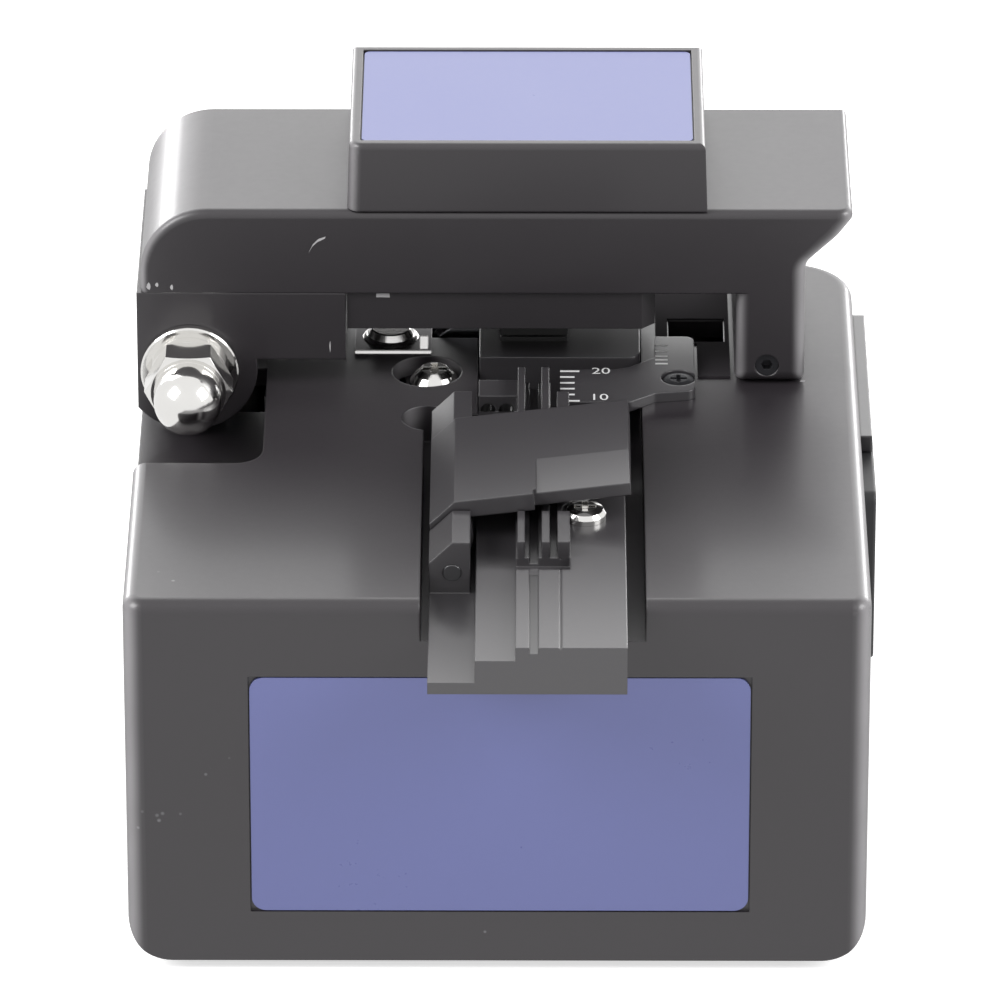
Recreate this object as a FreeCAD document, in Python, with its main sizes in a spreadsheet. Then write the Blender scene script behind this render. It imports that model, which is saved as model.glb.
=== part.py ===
"""Fibre cleaver: a one-action bench cleaver for optical fibre.

Frame: the origin is the centre of the footprint on the bench, +X to the user's right,
+Y to the rear and +Z up, in millimetres.  The cleaver is modelled with its lever shut.
The fibre lies along Y, from the fixture at the front to the anvil under the lever.
"""
import FreeCAD, Part
import math
import os

import Sketcher
from FreeCAD import Placement, Rotation, Vector

# ---------------------------------------------------------------- driving sizes
SIZES = {
    # housing
    "body_width": 66.0, "body_depth": 70.0, "body_height": 36.0, "wall": 1.8,
    "foot_gap": 1.0, "top_round": 1.2, "base_round": 4.0, "front_round": 1.75,
    "rear_round": 6.0,
    # bottom plate, feet and their screws
    "cover_lip": 4.4, "cover_thick": 1.5, "foot_radius": 4.0, "foot_inset": 9.5,
    "foot_recess": 0.6, "post_radius": 3.0, "cover_screw_inset": 7.5,
    # lever and its pivot
    "pivot_x": -28.3, "pivot_height": 38.6, "shaft_radius": 2.0, "turning_gap": 0.04,
    "lever_front": 8.4, "lever_depth": 22.3, "lever_left": -32.7, "lever_top": 54.55,
    "bar_height": 8.25, "lip_reach": 32.6, "lip_edge": 0.5, "lip_drop": 5.5,
    "leg_outer": 28.05, "leg_width": 6.4, "lever_rest_gap": 0.12, "lever_round": 6.2,
    "lever_edge": 0.7, "leg_edge": 1.3, "lever_wall": 2.5,
    "hub_radius": 6.2, "hub_side": 0.4, "hub_front_length": 5.8, "hub_rear_length": 6.7,
    "hub_step": 6.7, "hub_reach": 14.3, "ear_thick": 4.0, "ear_radius": 5.0,
    # crank under the pivot
    "crank_arm_length": 9.5, "crank_thick": 3.0, "crank_eye": 4.0, "crank_tip": 2.2,
    "drive_pin_radius": 1.0, "drive_play": 0.45,
    # pivot hardware
    "washer_radius": 4.5, "washer_thick": 0.8, "spring_washer_radius": 3.6,
    "spring_washer_thick": 1.0, "nut_flats": 7.0, "nut_hex": 3.2, "nut_length": 8.0,
    "nut_dome": 3.1, "seat_gap": 0.05,
    # thumb pad
    "pad_left": -13.8, "pad_width": 32.8, "pad_height": 6.6, "pad_draft": 2.0,
    "pad_corner": 1.2, "pad_edge": 0.5, "pad_rim": 1.35, "pad_plate_thick": 0.6,
    "pad_plate_sink": 0.1, "plate_gap": 0.12, "plate_recess": 0.5,
    # clamp in the lever
    "clamp_left": -13.9, "clamp_width": 28.2, "clamp_skirt": 3.7, "clamp_wall": 2.2,
    "holder_length": 14.5, "holder_depth": 14.0, "holder_height": 6.5, "pad_bite_gap": 0.2,
    "clamp_travel": 1.0, "clamp_pin_radius": 1.0, "clamp_pin_pitch": 10.0,
    "spring_wire": 0.22, "spring_coil": 1.7, "spring_turns": 4.0,
    # fibre line, fixture and its slot
    "fibre_x": 3.24, "slot_left": -6.8, "slot_right": 13.13, "slot_floor": 33.3,
    "slot_jog": 2.3, "slot_inner": -1.9, "slot_end": 27.5, "relief_radius": 2.5,
    "fixture_left": -6.05, "fixture_right": 11.4, "fixture_overhang": 10.0,
    "fixture_rear": 7.0, "fixture_side_rear": 2.0, "fixture_seat": 0.05,
    "flange_height": 1.1, "deck_height": 3.25, "bench_height": 4.55,
    "flange_width": 4.15, "deck_width": 3.54, "groove_width": 0.8, "groove_depth": 0.6,
    "fine_groove_width": 0.3, "fine_groove_depth": 0.15,
    "gate_front": -30.1, "gate_width": 2.2, "gate_depth": 0.9,
    "ridge_height": 1.6, "low_ridge_height": 0.8, "ridge_width": 0.7,
    "channel_width": 1.5, "outer_ridge_width": 1.1,
    # lid and its hinge
    "hinge_x": -4.0, "hinge_height": 3.15, "pin_radius": 0.8, "knuckle_front": -28.1,
    "knuckle_length": 6.2, "rear_knuckle_front": -4.7, "rear_knuckle_length": 6.7,
    "knuckle_height": 6.15, "knuckle_chamfer": 2.05, "lid_tilt": 7.0, "lid_lobe": 1.85,
    "lid_top": 3.7, "lid_thick": 1.65, "lid_length": 16.27, "lid_side_gap": 0.25,
    "lid_step": 0.9, "lid_bevel_length": 6.0, "lid_bevel_drop": 0.45,
    "lid_pad_width": 4.2, "lid_pad_length": 10.0, "lid_magnet_radius": 1.75,
    "lid_magnet_thick": 1.2,
    # fixture screw
    "fixture_screw_x": 7.8, "fixture_screw_y": -20.0, "pan_radius": 1.9,
    "pan_height": 1.1, "small_shank": 1.0,
    # anvil block, pads and blade
    "anvil_front": 11.1, "anvil_top": 38.5, "anvil_clear": 0.13, "anvil_round": 2.0,
    "grip_pad_width": 6.2, "grip_pad_length": 3.5, "grip_pad_gap": 3.0,
    "grip_pad_rise": 0.4, "grip_pad_sink": 0.5,
    "blade_radius": 6.8, "blade_thick": 1.0, "blade_rise": 0.1, "blade_lag": 4.4,
    "blade_gap": 0.5, "blade_bore": 1.3, "blade_edge": 0.5,
    # carriage and rail
    "carriage_travel": 6.72, "carriage_bar_low": 22.5, "carriage_bar_high": 26.0,
    "fork_wall": 1.25, "fork_thick": 3.2, "fork_reach": 4.4, "arm_thick": 3.8, "arm_half_width": 2.4,
    "rail_width": 4.0, "rail_height": 5.0, "rail_left": -22.0, "rail_right": 19.4,
    "rail_play": 0.06, "slider_length": 14.0, "slider_wall": 1.4, "boss_radius": 2.4,
    # scale plate
    "scale_left": 5.64, "scale_front": 2.9, "scale_rear": 9.6, "scale_thick": 1.0,
    "scale_neck_x": 12.0, "tab_left": 14.4, "tab_right": 18.0, "tab_front": 5.3,
    "tab_rear": 16.5, "tab_round": 0.9,
    # wear plate and height screw
    "wear_left": -13.3, "wear_right": -6.2, "wear_front": 14.7, "wear_rear": 26.0,
    "wear_thick": 0.6, "wear_tab_height": 1.6, "wear_tab_width": 1.0, "dome_radius": 2.2,
    "dome_height": 0.5, "height_screw_x": -5.9, "height_screw_y": 11.2,
    "height_screw_radius": 2.3, "counterbore_x": -6.6, "counterbore_radius": 3.2,
    "counterbore_depth": 1.8,
    # front plate
    "plate_left": -21.87, "plate_right": 22.4, "plate_low": 6.1, "plate_high": 29.6,
    "plate_corner": 1.3, "front_recess": 0.35, "front_plate_thick": 0.3,
    # scrap drawer and its bezel on the right side
    "drawer_front": -6.0, "drawer_rear": 24.0, "drawer_low": 16.0, "drawer_high": 33.0,
    "drawer_face": 1.25, "drawer_gap": 0.15, "tray_front": 0.0, "tray_rear": 22.0,
    "tray_low": 17.6, "tray_high": 30.4, "tray_left": 16.5, "tray_wall": 1.0,
    "sleeve_wall": 1.6, "bezel_front": 2.5, "bezel_rear": 28.4, "bezel_proud": 1.15,
    "bezel_rail": 1.6, "chute_left": 15.7, "chute_right": 20.8, "chute_front": 17.0,
    "chute_rear": 22.0,
    # catch
    "magnet_radius": 2.5, "magnet_thick": 2.0, "keeper_radius": 3.0, "keeper_thick": 1.0,
    "set_screw_radius": 1.1, "set_screw_sink": 0.25,
}

doc = FreeCAD.newDocument("fibre_cleaver")
sheet = doc.addObject("Spreadsheet::Sheet", "dims")
for row, (alias, number) in enumerate(SIZES.items(), start=1):
    sheet.set(f"A{row}", str(number))
    sheet.setAlias(f"A{row}", alias)
doc.recompute()


class Size:
    """A length that carries its value and the expression that binds it to the sheet."""

    def __init__(self, text, value):
        self.text = text
        self.value = float(value)

    def _with(self, other, sign, result, swap=False):
        if not isinstance(other, Size):
            other = Size(f"({other})" if other < 0 else str(other), other)
        first, second = (other, self) if swap else (self, other)
        return Size(f"({first.text} {sign} {second.text})", result(first.value, second.value))

    def __add__(self, other):
        return self._with(other, "+", lambda a, b: a + b)

    def __radd__(self, other):
        return self._with(other, "+", lambda a, b: a + b, swap=True)

    def __sub__(self, other):
        return self._with(other, "-", lambda a, b: a - b)

    def __rsub__(self, other):
        return self._with(other, "-", lambda a, b: a - b, swap=True)

    def __mul__(self, other):
        return self._with(other, "*", lambda a, b: a * b)

    def __rmul__(self, other):
        return self._with(other, "*", lambda a, b: a * b, swap=True)

    def __truediv__(self, other):
        return self._with(other, "/", lambda a, b: a / b)

    def __neg__(self):
        return Size(f"(0 - {self.text})", -self.value)

    def __float__(self):
        return self.value


class Sheet:
    """Reads a driving size from the spreadsheet by its alias."""

    def __getattr__(self, alias):
        return Size(f"dims.{alias}", sheet.get(alias))


s = Sheet()


def number(size):
    """The plain value of a Size or of a number."""
    return float(size)


def bind(item, prop, size):
    """Bind a property to the sheet, or set it when the size is a plain number."""
    if isinstance(size, Size):
        item.setExpression(prop, size.text)
    else:
        item.setExpression(prop, str(size))


# ---------------------------------------------------------------- outlines
def rect(x0, x1, y0, y1):
    """A rectangle between two corners."""
    return [(x0, y0), (x1, y0), (x1, y1), (x0, y1)]


def disc(x, y, radius):
    """A circle."""
    return ("disc", x, y, radius)


def draw(sketch, outline):
    """Draw one closed outline whose corners are bound to the sheet."""
    if outline[0] == "disc":
        _, x, y, radius = outline
        edge = sketch.addGeometry(
            Part.Circle(Vector(number(x), number(y), 0), Vector(0, 0, 1), number(radius)), False)
        lock(sketch, "DistanceX", edge, 3, x)
        lock(sketch, "DistanceY", edge, 3, y)
        index = sketch.addConstraint(Sketcher.Constraint("Radius", edge, number(radius)))
        bind(sketch, f"Constraints[{index}]", radius)
        return
    count = len(outline)
    first = sketch.GeometryCount
    for here in range(count):
        x0, y0 = outline[here]
        x1, y1 = outline[(here + 1) % count]
        sketch.addGeometry(Part.LineSegment(Vector(number(x0), number(y0), 0),
                                            Vector(number(x1), number(y1), 0)), False)
    for here in range(count):
        sketch.addConstraint(Sketcher.Constraint(
            "Coincident", first + here, 2, first + (here + 1) % count, 1))
    for here, (x, y) in enumerate(outline):
        lock(sketch, "DistanceX", first + here, 1, x)
        lock(sketch, "DistanceY", first + here, 1, y)


def lock(sketch, kind, edge, point, size):
    """Hold one coordinate of a sketch point at a size."""
    index = sketch.addConstraint(Sketcher.Constraint(kind, edge, point, number(size)))
    bind(sketch, f"Constraints[{index}]", size)


# ---------------------------------------------------------------- bodies
NORMAL = {"XY": 1, "YZ": 1, "XZ": -1}


class Piece:
    """A PartDesign body built from sketches on its own origin planes."""

    def __init__(self, name):
        self.body = doc.addObject("PartDesign::Body", name)
        self.name = name
        self.steps = 0

    def _sketch(self, plane, level, outlines):
        self.steps += 1
        sketch = self.body.newObject("Sketcher::SketchObject", f"{self.name}_sketch{self.steps}")
        face = [item for item in self.body.Origin.OriginFeatures if item.Role == f"{plane}_Plane"][0]
        sketch.AttachmentSupport = [(face, "")]
        sketch.MapMode = "FlatFace"
        bind(sketch, "AttachmentOffset.Base.z", level * NORMAL[plane])
        for outline in outlines:
            draw(sketch, outline)
        return sketch

    def _feature(self, kind, label):
        self.steps += 1
        return self.body.newObject(f"PartDesign::{kind}", f"{self.name}_{label}{self.steps}")

    def pad(self, plane, low, high, *outlines, taper=None):
        """Add the outlines, from one level to another along the plane's normal."""
        start = low if NORMAL[plane] > 0 else high
        sketch = self._sketch(plane, start, outlines)
        pad = self._feature("Pad", "pad")
        pad.Profile = sketch
        bind(pad, "Length", high - low)
        if taper is not None:
            bind(pad, "TaperAngle", taper)
        doc.recompute()
        return self

    def pocket(self, plane, low, high, *outlines):
        """Cut the outlines away between two levels, and check that it cuts."""
        before = self.body.Shape.Volume
        start = high if NORMAL[plane] > 0 else low
        sketch = self._sketch(plane, start, outlines)
        pocket = self._feature("Pocket", "pocket")
        pocket.Profile = sketch
        bind(pocket, "Length", high - low)
        doc.recompute()
        if not self.body.Shape.Volume < before:
            raise RuntimeError(f"{pocket.Name} cuts nothing")
        return self

    def turn(self, plane, axis, *outlines):
        """Revolve the outlines about the sketch's own horizontal or vertical axis."""
        sketch = self._sketch(plane, Size("0", 0), outlines)
        turned = self._feature("Revolution", "turned")
        turned.Profile = sketch
        turned.ReferenceAxis = (sketch, [axis])
        turned.Angle = 360
        doc.recompute()
        return self

    def groove(self, plane, axis, *outlines):
        """Turn the outlines away about the sketch's own axis."""
        before = self.body.Shape.Volume
        sketch = self._sketch(plane, Size("0", 0), outlines)
        groove = self._feature("Groove", "groove")
        groove.Profile = sketch
        groove.ReferenceAxis = (sketch, [axis])
        groove.Angle = 360
        doc.recompute()
        if not self.body.Shape.Volume < before:
            raise RuntimeError(f"{groove.Name} cuts nothing")
        return self

    def _dress(self, kind, prop, size, where):
        tip = self.body.Tip
        names = pick(tip.Shape, where)
        if not names:
            raise RuntimeError(f"{self.name}: no edge for a {kind}")
        dress = self._feature(kind, kind.lower())
        dress.Base = (tip, names)
        bind(dress, prop, size)
        doc.recompute()
        return self

    def fillet(self, radius, *where):
        """Round the edges that lie in the given places."""
        return self._dress("Fillet", "Radius", radius, where)

    def chamfer(self, size, *where):
        """Chamfer the edges that lie in the given places."""
        return self._dress("Chamfer", "Size", size, where)

    def place(self, x, y, z, axis=None, angle=None):
        """Put the body's own origin at a place, turned by an angle about an axis."""
        put(self.body, x, y, z)
        if axis is not None:
            self.body.Placement = Placement(self.body.Placement.Base, Rotation(axis, 0))
            bind(self.body, "Placement.Rotation.Angle", angle)
        doc.recompute()
        return self


def put(item, x, y, z):
    """Bind an object's place to the sheet."""
    bind(item, "Placement.Base.x", x)
    bind(item, "Placement.Base.y", y)
    bind(item, "Placement.Base.z", z)


def pick(shape, places, reach=0.02):
    """Names of the edges whose box lies in one of the places.

    A place is a dictionary: x, y and z hold a size, or a pair of a low and a high one, and
    along holds the axis that the edge follows.
    """
    found = []
    for index, edge in enumerate(shape.Edges, start=1):
        box = edge.BoundBox
        spans = {"x": (box.XMin, box.XMax), "y": (box.YMin, box.YMax), "z": (box.ZMin, box.ZMax)}
        for place in places:
            if fits(spans, place, reach):
                found.append(f"Edge{index}")
                break
    return found


def fits(spans, place, reach):
    """Whether an edge's box lies inside a place."""
    along = place.get("along", "").lower()
    for axis in ("x", "y", "z"):
        low, high = spans[axis]
        if axis in place:
            limit = place[axis]
            least, most = limit if isinstance(limit, tuple) else (limit, limit)
            if low < number(least) - reach or high > number(most) + reach:
                return False
        if along and (high - low > reach) != (axis == along):
            return False
    return True


def block(name, x0, x1, y0, y1, z0, z1):
    """A plain box primitive between two corners."""
    item = doc.addObject("Part::Box", name)
    bind(item, "Length", x1 - x0)
    bind(item, "Width", y1 - y0)
    bind(item, "Height", z1 - z0)
    put(item, x0, y0, z0)
    return item


def rod(name, axis, x, y, z, radius, length):
    """A cylinder primitive that starts at a point and runs along +X, +Y or +Z."""
    item = doc.addObject("Part::Cylinder", name)
    turns = {"X": Rotation(Vector(0, 1, 0), 90), "Y": Rotation(Vector(1, 0, 0), -90),
             "Z": Rotation()}
    item.Placement = Placement(Vector(), turns[axis])
    bind(item, "Radius", radius)
    bind(item, "Height", length)
    put(item, x, y, z)
    return item


def shape_of(item):
    """The document object behind a Piece or a primitive."""
    return item.body if isinstance(item, Piece) else item


def cut(name, base, *tools):
    """The base less every tool."""
    result = doc.addObject("Part::Cut", name)
    result.Base = shape_of(base)
    result.Tool = shape_of(tools[0]) if len(tools) == 1 else fuse(f"{name}_tools", *tools)
    doc.recompute()
    return result


def fuse(name, *parts):
    """One object made of several."""
    result = doc.addObject("Part::MultiFuse", name)
    result.Shapes = [shape_of(part) for part in parts]
    doc.recompute()
    return result


def common(name, *parts):
    """What several objects share."""
    result = doc.addObject("Part::MultiCommon", name)
    result.Shapes = [shape_of(part) for part in parts]
    doc.recompute()
    return result


def group(name, *parts):
    """Separate solids that share one node."""
    result = doc.addObject("Part::Compound", name)
    result.Links = [shape_of(part) for part in parts]
    doc.recompute()
    return result


def rounded(name, base, radius, *where):
    """A fillet on the edges of a primitive or a boolean."""
    source = shape_of(base)
    result = doc.addObject("Part::Fillet", name)
    result.Base = source
    names = pick(source.Shape, where)
    result.Edges = [(int(edge[4:]), number(radius), number(radius)) for edge in names]
    doc.recompute()
    return result


# ---------------------------------------------------------------- shared places
half_width = s.body_width / 2
half_depth = s.body_depth / 2
floor_level = s.foot_gap
top_level = s.foot_gap + s.body_height
skin_low = top_level - s.wall
lip_top = floor_level + s.cover_thick + s.wall
inner_x = half_width - s.wall
inner_y = half_depth - s.wall
lever_rear = s.lever_front + s.lever_depth
bar_low = s.lever_top - s.bar_height
hub_left = s.lever_left - s.hub_side
hub_right = s.pivot_x + s.hub_reach
block_low = bar_low - s.hub_step
leg_inner = s.leg_outer - s.leg_width
leg_low = top_level + s.lever_rest_gap
hub_gap_front = s.lever_front + s.hub_front_length
hub_gap_rear = lever_rear - s.hub_rear_length
notch_right = s.pivot_x + s.hub_radius + 0.8
notch_front = s.lever_front - s.nut_length - s.spring_washer_thick - s.washer_thick * 2 - 5.4
notch_floor = s.pivot_height - s.hub_radius - 0.9
notch_rear = lever_rear + 0.3
drive_low = s.pivot_height - s.crank_arm_length
seat = s.slot_floor + s.fixture_seat
fixture_front = -half_depth - s.fixture_overhang
flange_top = seat + s.flange_height
deck_top = seat + s.deck_height
bench_top = seat + s.bench_height
flange_right = s.fixture_left + s.flange_width
deck_right = flange_right + s.deck_width
hinge_z = seat + s.hinge_height
blade_x = s.fibre_x - s.blade_lag
grip_top = s.anvil_top + s.grip_pad_rise
blade_z = grip_top + s.blade_rise - s.blade_radius
blade_y = s.anvil_front + 8.4
magnet_x = (leg_inner + s.leg_outer) / 2
magnet_y = s.lever_front + s.lever_depth / 2


# ---------------------------------------------------------------- housing
def plan_view(name, low, high, inset):
    """The housing's plan outline with its rounded corners, inset all round."""
    piece = Piece(name)
    piece.pad("XY", low, high, rect(inset - half_width, half_width - inset,
                                    inset - half_depth, half_depth - inset))
    piece.fillet(s.rear_round - inset, {"along": "Z", "y": half_depth - inset})
    if number(inset) < number(s.front_round):
        piece.fillet(s.front_round - inset, {"along": "Z", "y": inset - half_depth})
    return piece


def front_view(name, low, high, inset, front, rear):
    """The housing's front outline with rounded lower edges, inset all round."""
    piece = Piece(name)
    piece.pad("XZ", front, rear, rect(inset - half_width, half_width - inset, low, high))
    piece.fillet(s.base_round - inset, {"along": "Y", "z": low})
    return piece


def housing_shell():
    """The outer form with its rounded edges."""
    plan = plan_view("housing_plan", floor_level, top_level, 0 * s.wall)
    front = front_view("housing_front", floor_level, top_level, 0 * s.wall,
                       -half_depth - 1, half_depth + 1)
    form = common("housing_form", plan, front)
    return rounded("housing_rounded", form, s.top_round, {"z": top_level})


def housing_ear():
    """The lug at the rear that carries the pivot shaft."""
    lug = Piece("ear_lug")
    lug.pad("XZ", notch_rear, half_depth,
            rect(s.pivot_x - s.ear_radius, s.pivot_x + s.ear_radius, notch_floor, s.pivot_height))
    head = rod("ear_head", "Y", s.pivot_x, notch_rear, s.pivot_height, s.ear_radius,
               half_depth - notch_rear)
    tall = plan_view("ear_plan", notch_floor, s.pivot_height + s.ear_radius + 1, 0 * s.wall)
    return common("ear", fuse("ear_form", lug, head), tall)


def housing_cavity():
    """The hollow inside, less the tubs, posts and sleeve that stand in it."""
    hollow = common("hollow",
                    plan_view("hollow_plan", lip_top, skin_low, s.wall),
                    front_view("hollow_front", lip_top, skin_low, s.wall, -inner_y, inner_y))
    notch_tub = block("notch_tub", -half_width, notch_right + s.wall, notch_front - s.wall,
                      half_depth, notch_floor - s.wall, skin_low)
    slot_tub = block("slot_tub", s.slot_left - s.wall, s.slot_right + s.wall, -half_depth,
                     s.slot_end + s.wall, s.slot_floor - s.wall, skin_low)
    sleeve = block("drawer_sleeve", s.tray_left - s.wall, half_width,
                   s.tray_front - s.drawer_gap - s.sleeve_wall,
                   s.tray_rear + s.drawer_gap + s.sleeve_wall,
                   s.tray_low - s.drawer_gap - s.sleeve_wall,
                   s.tray_high + s.drawer_gap + s.sleeve_wall)
    left_boss = rod("rail_boss_left", "Z", s.rail_left + s.boss_radius, blade_y + 7.5,
                    s.carriage_bar_low + s.rail_height, s.boss_radius,
                    skin_low - s.carriage_bar_low - s.rail_height)
    right_boss = rod("rail_boss_right", "Z", s.rail_right - s.boss_radius, blade_y + 7.5,
                     s.carriage_bar_low + s.rail_height, s.boss_radius,
                     skin_low - s.carriage_bar_low - s.rail_height)
    posts = [rod(f"cover_post{index}", "Z", x, y, floor_level, s.post_radius,
                 skin_low - floor_level) for index, (x, y) in enumerate(cover_corners(), start=1)]
    return cut("cavity", hollow, notch_tub, slot_tub, sleeve, left_boss, right_boss, *posts)


def cover_corners():
    """Where the bottom plate's screws stand."""
    x = half_width - s.cover_screw_inset
    y = half_depth - s.cover_screw_inset
    return [(-x, -y), (x, -y), (x, y), (-x, y)]


def notch_cutter():
    """The pivot recess at the left, open to the side."""
    notch = Piece("notch")
    notch.pad("XY", notch_floor, top_level + 1,
              rect(-half_width - 1, notch_right, notch_front, notch_rear))
    return notch.fillet(2.6 + 0 * s.wall, {"along": "Z", "x": notch_right, "y": notch_front})


def slot_cutter():
    """The fixture slot, which narrows behind the fixture and ends under the lever."""
    slot = Piece("slot")
    slot.pad("XY", s.slot_floor, top_level + 1,
             [(s.slot_left, -half_depth - 1), (s.slot_right, -half_depth - 1),
              (s.slot_right, s.slot_end), (s.slot_inner, s.slot_end),
              (s.slot_inner, s.slot_jog), (s.slot_left, s.slot_jog)])
    slot.fillet(s.anvil_round, {"along": "Z", "y": s.slot_end})
    relief = rod("slot_relief", "Z", s.slot_left + 0.5, s.slot_jog - 0.7, s.slot_floor,
                 s.relief_radius, top_level + 1 - s.slot_floor)
    return fuse("slot_cut", slot, relief)


def housing():
    """The cast body: shell, cavity, pivot recess, fixture slot and openings."""
    blade_reach = s.blade_radius + s.blade_gap
    windows = [
        block("crank_window", -inner_x, s.pivot_x + s.carriage_travel + 3.6, s.lever_front + 5.4,
              blade_y + 3.4, notch_floor - s.wall - 1, skin_low + 0.2),
        block("crank_slot", -inner_x, notch_right + s.wall, hub_gap_front - 0.4,
              hub_gap_front + s.crank_thick + 0.4, notch_floor - s.wall - 1, top_level + 1),
        block("blade_window", blade_x - blade_reach, s.slot_right, blade_y - s.blade_gap - 0.8,
              blade_y + s.blade_gap + 0.8, s.slot_floor - s.wall - 1, top_level + 1),
        block("hub_window", blade_x - s.arm_half_width - 0.8,
              blade_x + s.carriage_travel + s.arm_half_width + 0.8, blade_y - 2.4, blade_y + 5.1,
              s.slot_floor - s.wall - 1, blade_z + s.arm_half_width + 0.4),
        block("chute", s.chute_left, s.chute_right, s.chute_front, s.chute_rear,
              s.tray_high - 1, top_level + 1),
        block("drawer_opening", s.tray_left - s.drawer_gap, half_width + 1,
              s.tray_front - s.drawer_gap, s.tray_rear + s.drawer_gap,
              s.tray_low - s.drawer_gap, s.tray_high + s.drawer_gap),
        block("cover_opening", s.cover_lip + 1.6 - half_width, half_width - s.cover_lip - 1.6,
              s.cover_lip + 1.6 - half_depth, half_depth - s.cover_lip - 1.6, 0 * s.wall, lip_top + 0.5),
        block("cover_seat", s.cover_lip - half_width - s.plate_gap,
              half_width - s.cover_lip + s.plate_gap,
              s.cover_lip - half_depth - s.plate_gap, half_depth - s.cover_lip + s.plate_gap,
              0 * s.wall, floor_level + s.cover_thick),
        block("label_recess", s.plate_left - s.plate_gap, s.plate_right + s.plate_gap,
              -half_depth - 1, s.front_recess - half_depth, s.plate_low - s.plate_gap,
              s.plate_high + s.plate_gap),
        rod("keeper_seat", "Z", magnet_x, magnet_y, top_level - s.keeper_thick,
            s.keeper_radius, s.keeper_thick + 1),
        rod("counterbore", "Z", s.counterbore_x, s.height_screw_y,
            top_level - s.counterbore_depth, s.counterbore_radius, s.counterbore_depth + 1),
        rod("height_screw_hole", "Z", s.height_screw_x, s.height_screw_y, skin_low - 4,
            s.small_shank, s.wall + 5),
        rod("fixture_screw_hole", "Z", s.fixture_screw_x, s.fixture_screw_y,
            s.slot_floor - s.wall - 1, s.small_shank, s.wall + 2),
        rod("shaft_hole", "Y", s.pivot_x, notch_rear - 1, s.pivot_height, s.shaft_radius,
            s.ear_thick - 0.4),
    ]
    posts_bore = [rod(f"cover_bore{index}", "Z", x, y, 0 * s.wall, s.small_shank, 9 + 0 * s.wall)
                  for index, (x, y) in enumerate(cover_corners(), start=1)]
    tabs = [rod(f"scale_bore{index}", "Z", x, y, skin_low - 1, s.small_shank * 0.8, s.wall + 2)
            for index, (x, y) in enumerate([scale_screw_place()], start=1)]
    rail_bores = [rod(f"rail_bore{index}", "Z", x, blade_y + 7.5, s.carriage_bar_low,
                      s.small_shank, s.rail_height + 4)
                  for index, x in enumerate((s.rail_left + s.boss_radius,
                                             s.rail_right - s.boss_radius), start=1)]
    rail_bores += [rod(f"bezel_bore{index}", "X", inner_x - 1, y, z, s.small_shank, s.wall + 2)
                   for index, (y, z) in enumerate(bezel_screw_places(), start=1)]
    rail_bores += [rod(f"anvil_bore{index}", "Z", x, y, s.slot_floor - s.wall - 1,
                       s.small_shank + 0.1, s.wall + 2)
                   for index, (x, y) in enumerate(anvil_screw_places(), start=1)]
    form = cut("housing_hollowed", housing_shell(), housing_cavity(), notch_cutter(),
               slot_cutter(), *windows, *posts_bore, *tabs, *rail_bores)
    lug = cut("ear_bored", housing_ear(),
              rod("ear_hole", "Y", s.pivot_x, notch_rear - 1, s.pivot_height, s.shaft_radius,
                  s.ear_thick - 0.4))
    return fuse("housing", form, lug)


def scale_screw_place():
    """Where the scale plate's screw stands."""
    return (s.tab_left + s.tab_right) / 2 + 0.3, s.tab_front + 2.6


def bottom_plate():
    """The cover under the body, with the holes for its screws and the feet's seats."""
    plate = Piece("bottom_plate")
    plate.pad("XY", floor_level, floor_level + s.cover_thick,
              rect(s.cover_lip - half_width, half_width - s.cover_lip,
                   s.cover_lip - half_depth, half_depth - s.cover_lip))
    plate.pocket("XY", floor_level, floor_level + s.cover_thick,
                 *[disc(x, y, s.small_shank + 0.1) for x, y in cover_corners()])
    plate.pocket("XY", floor_level, floor_level + 0.7,
                 *[disc(x, y, s.pan_radius + 0.1) for x, y in cover_corners()])
    return plate.pocket("XY", floor_level, floor_level + s.foot_recess,
                        *[disc(x, y, s.foot_radius) for x, y in foot_places()])


def foot_places():
    """Where the four feet stand, clear of the screws."""
    x = half_width - s.foot_inset - 6.5
    y = half_depth - s.foot_inset - 6.5
    return [(-x, -y), (x, -y), (x, y), (-x, y)]


def rubber_feet():
    """Four turned feet with a softened rim."""
    feet = []
    for index, (x, y) in enumerate(foot_places(), start=1):
        foot = Piece(f"foot{index}")
        tall = s.foot_gap + s.foot_recess
        foot.turn("XZ", "V_Axis", [(0, 0), (s.foot_radius - 0.6, 0), (s.foot_radius, 0.6),
                                   (s.foot_radius, tall), (0, tall)])
        feet.append(foot.place(x, y, 0 * s.wall))
    return group("rubber_feet", *feet)


def pan_screw(name, x, y, seat_level, radius, head, shank, length, flip=False):
    """A cross-recessed pan-head screw that stands on a seat, head up or head down."""
    screw = Piece(name)
    dome = radius * 0.55
    screw.turn("XZ", "V_Axis", [(0, -length), (shank, -length), (shank, 0), (radius, 0),
                                (radius, head * 0.45), (radius - head * 0.25, head * 0.8),
                                (dome, head), (0, head)])
    arm, slot = radius * 0.5, radius * 0.14
    screw.pocket("XY", head * 0.35, head * 1.1, rect(-arm, arm, -slot, slot))
    screw.pocket("XY", head * 0.35, head * 1.1, rect(-slot, slot, -arm, arm))
    put(screw.body, x, y, seat_level)
    if flip:
        screw.body.Placement = Placement(screw.body.Placement.Base, Rotation(Vector(1, 0, 0), 180))
        put(screw.body, x, y, seat_level)
    doc.recompute()
    return screw


def bottom_screws():
    """The four screws of the bottom plate, sunk in it."""
    return group("bottom_screws", *[
        pan_screw(f"bottom_screw{index}", x, y, floor_level + 0.7, s.pan_radius, 0.65 + 0 * s.wall,
                  s.small_shank, 7 + 0 * s.wall, flip=True)
        for index, (x, y) in enumerate(cover_corners(), start=1)])


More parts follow.
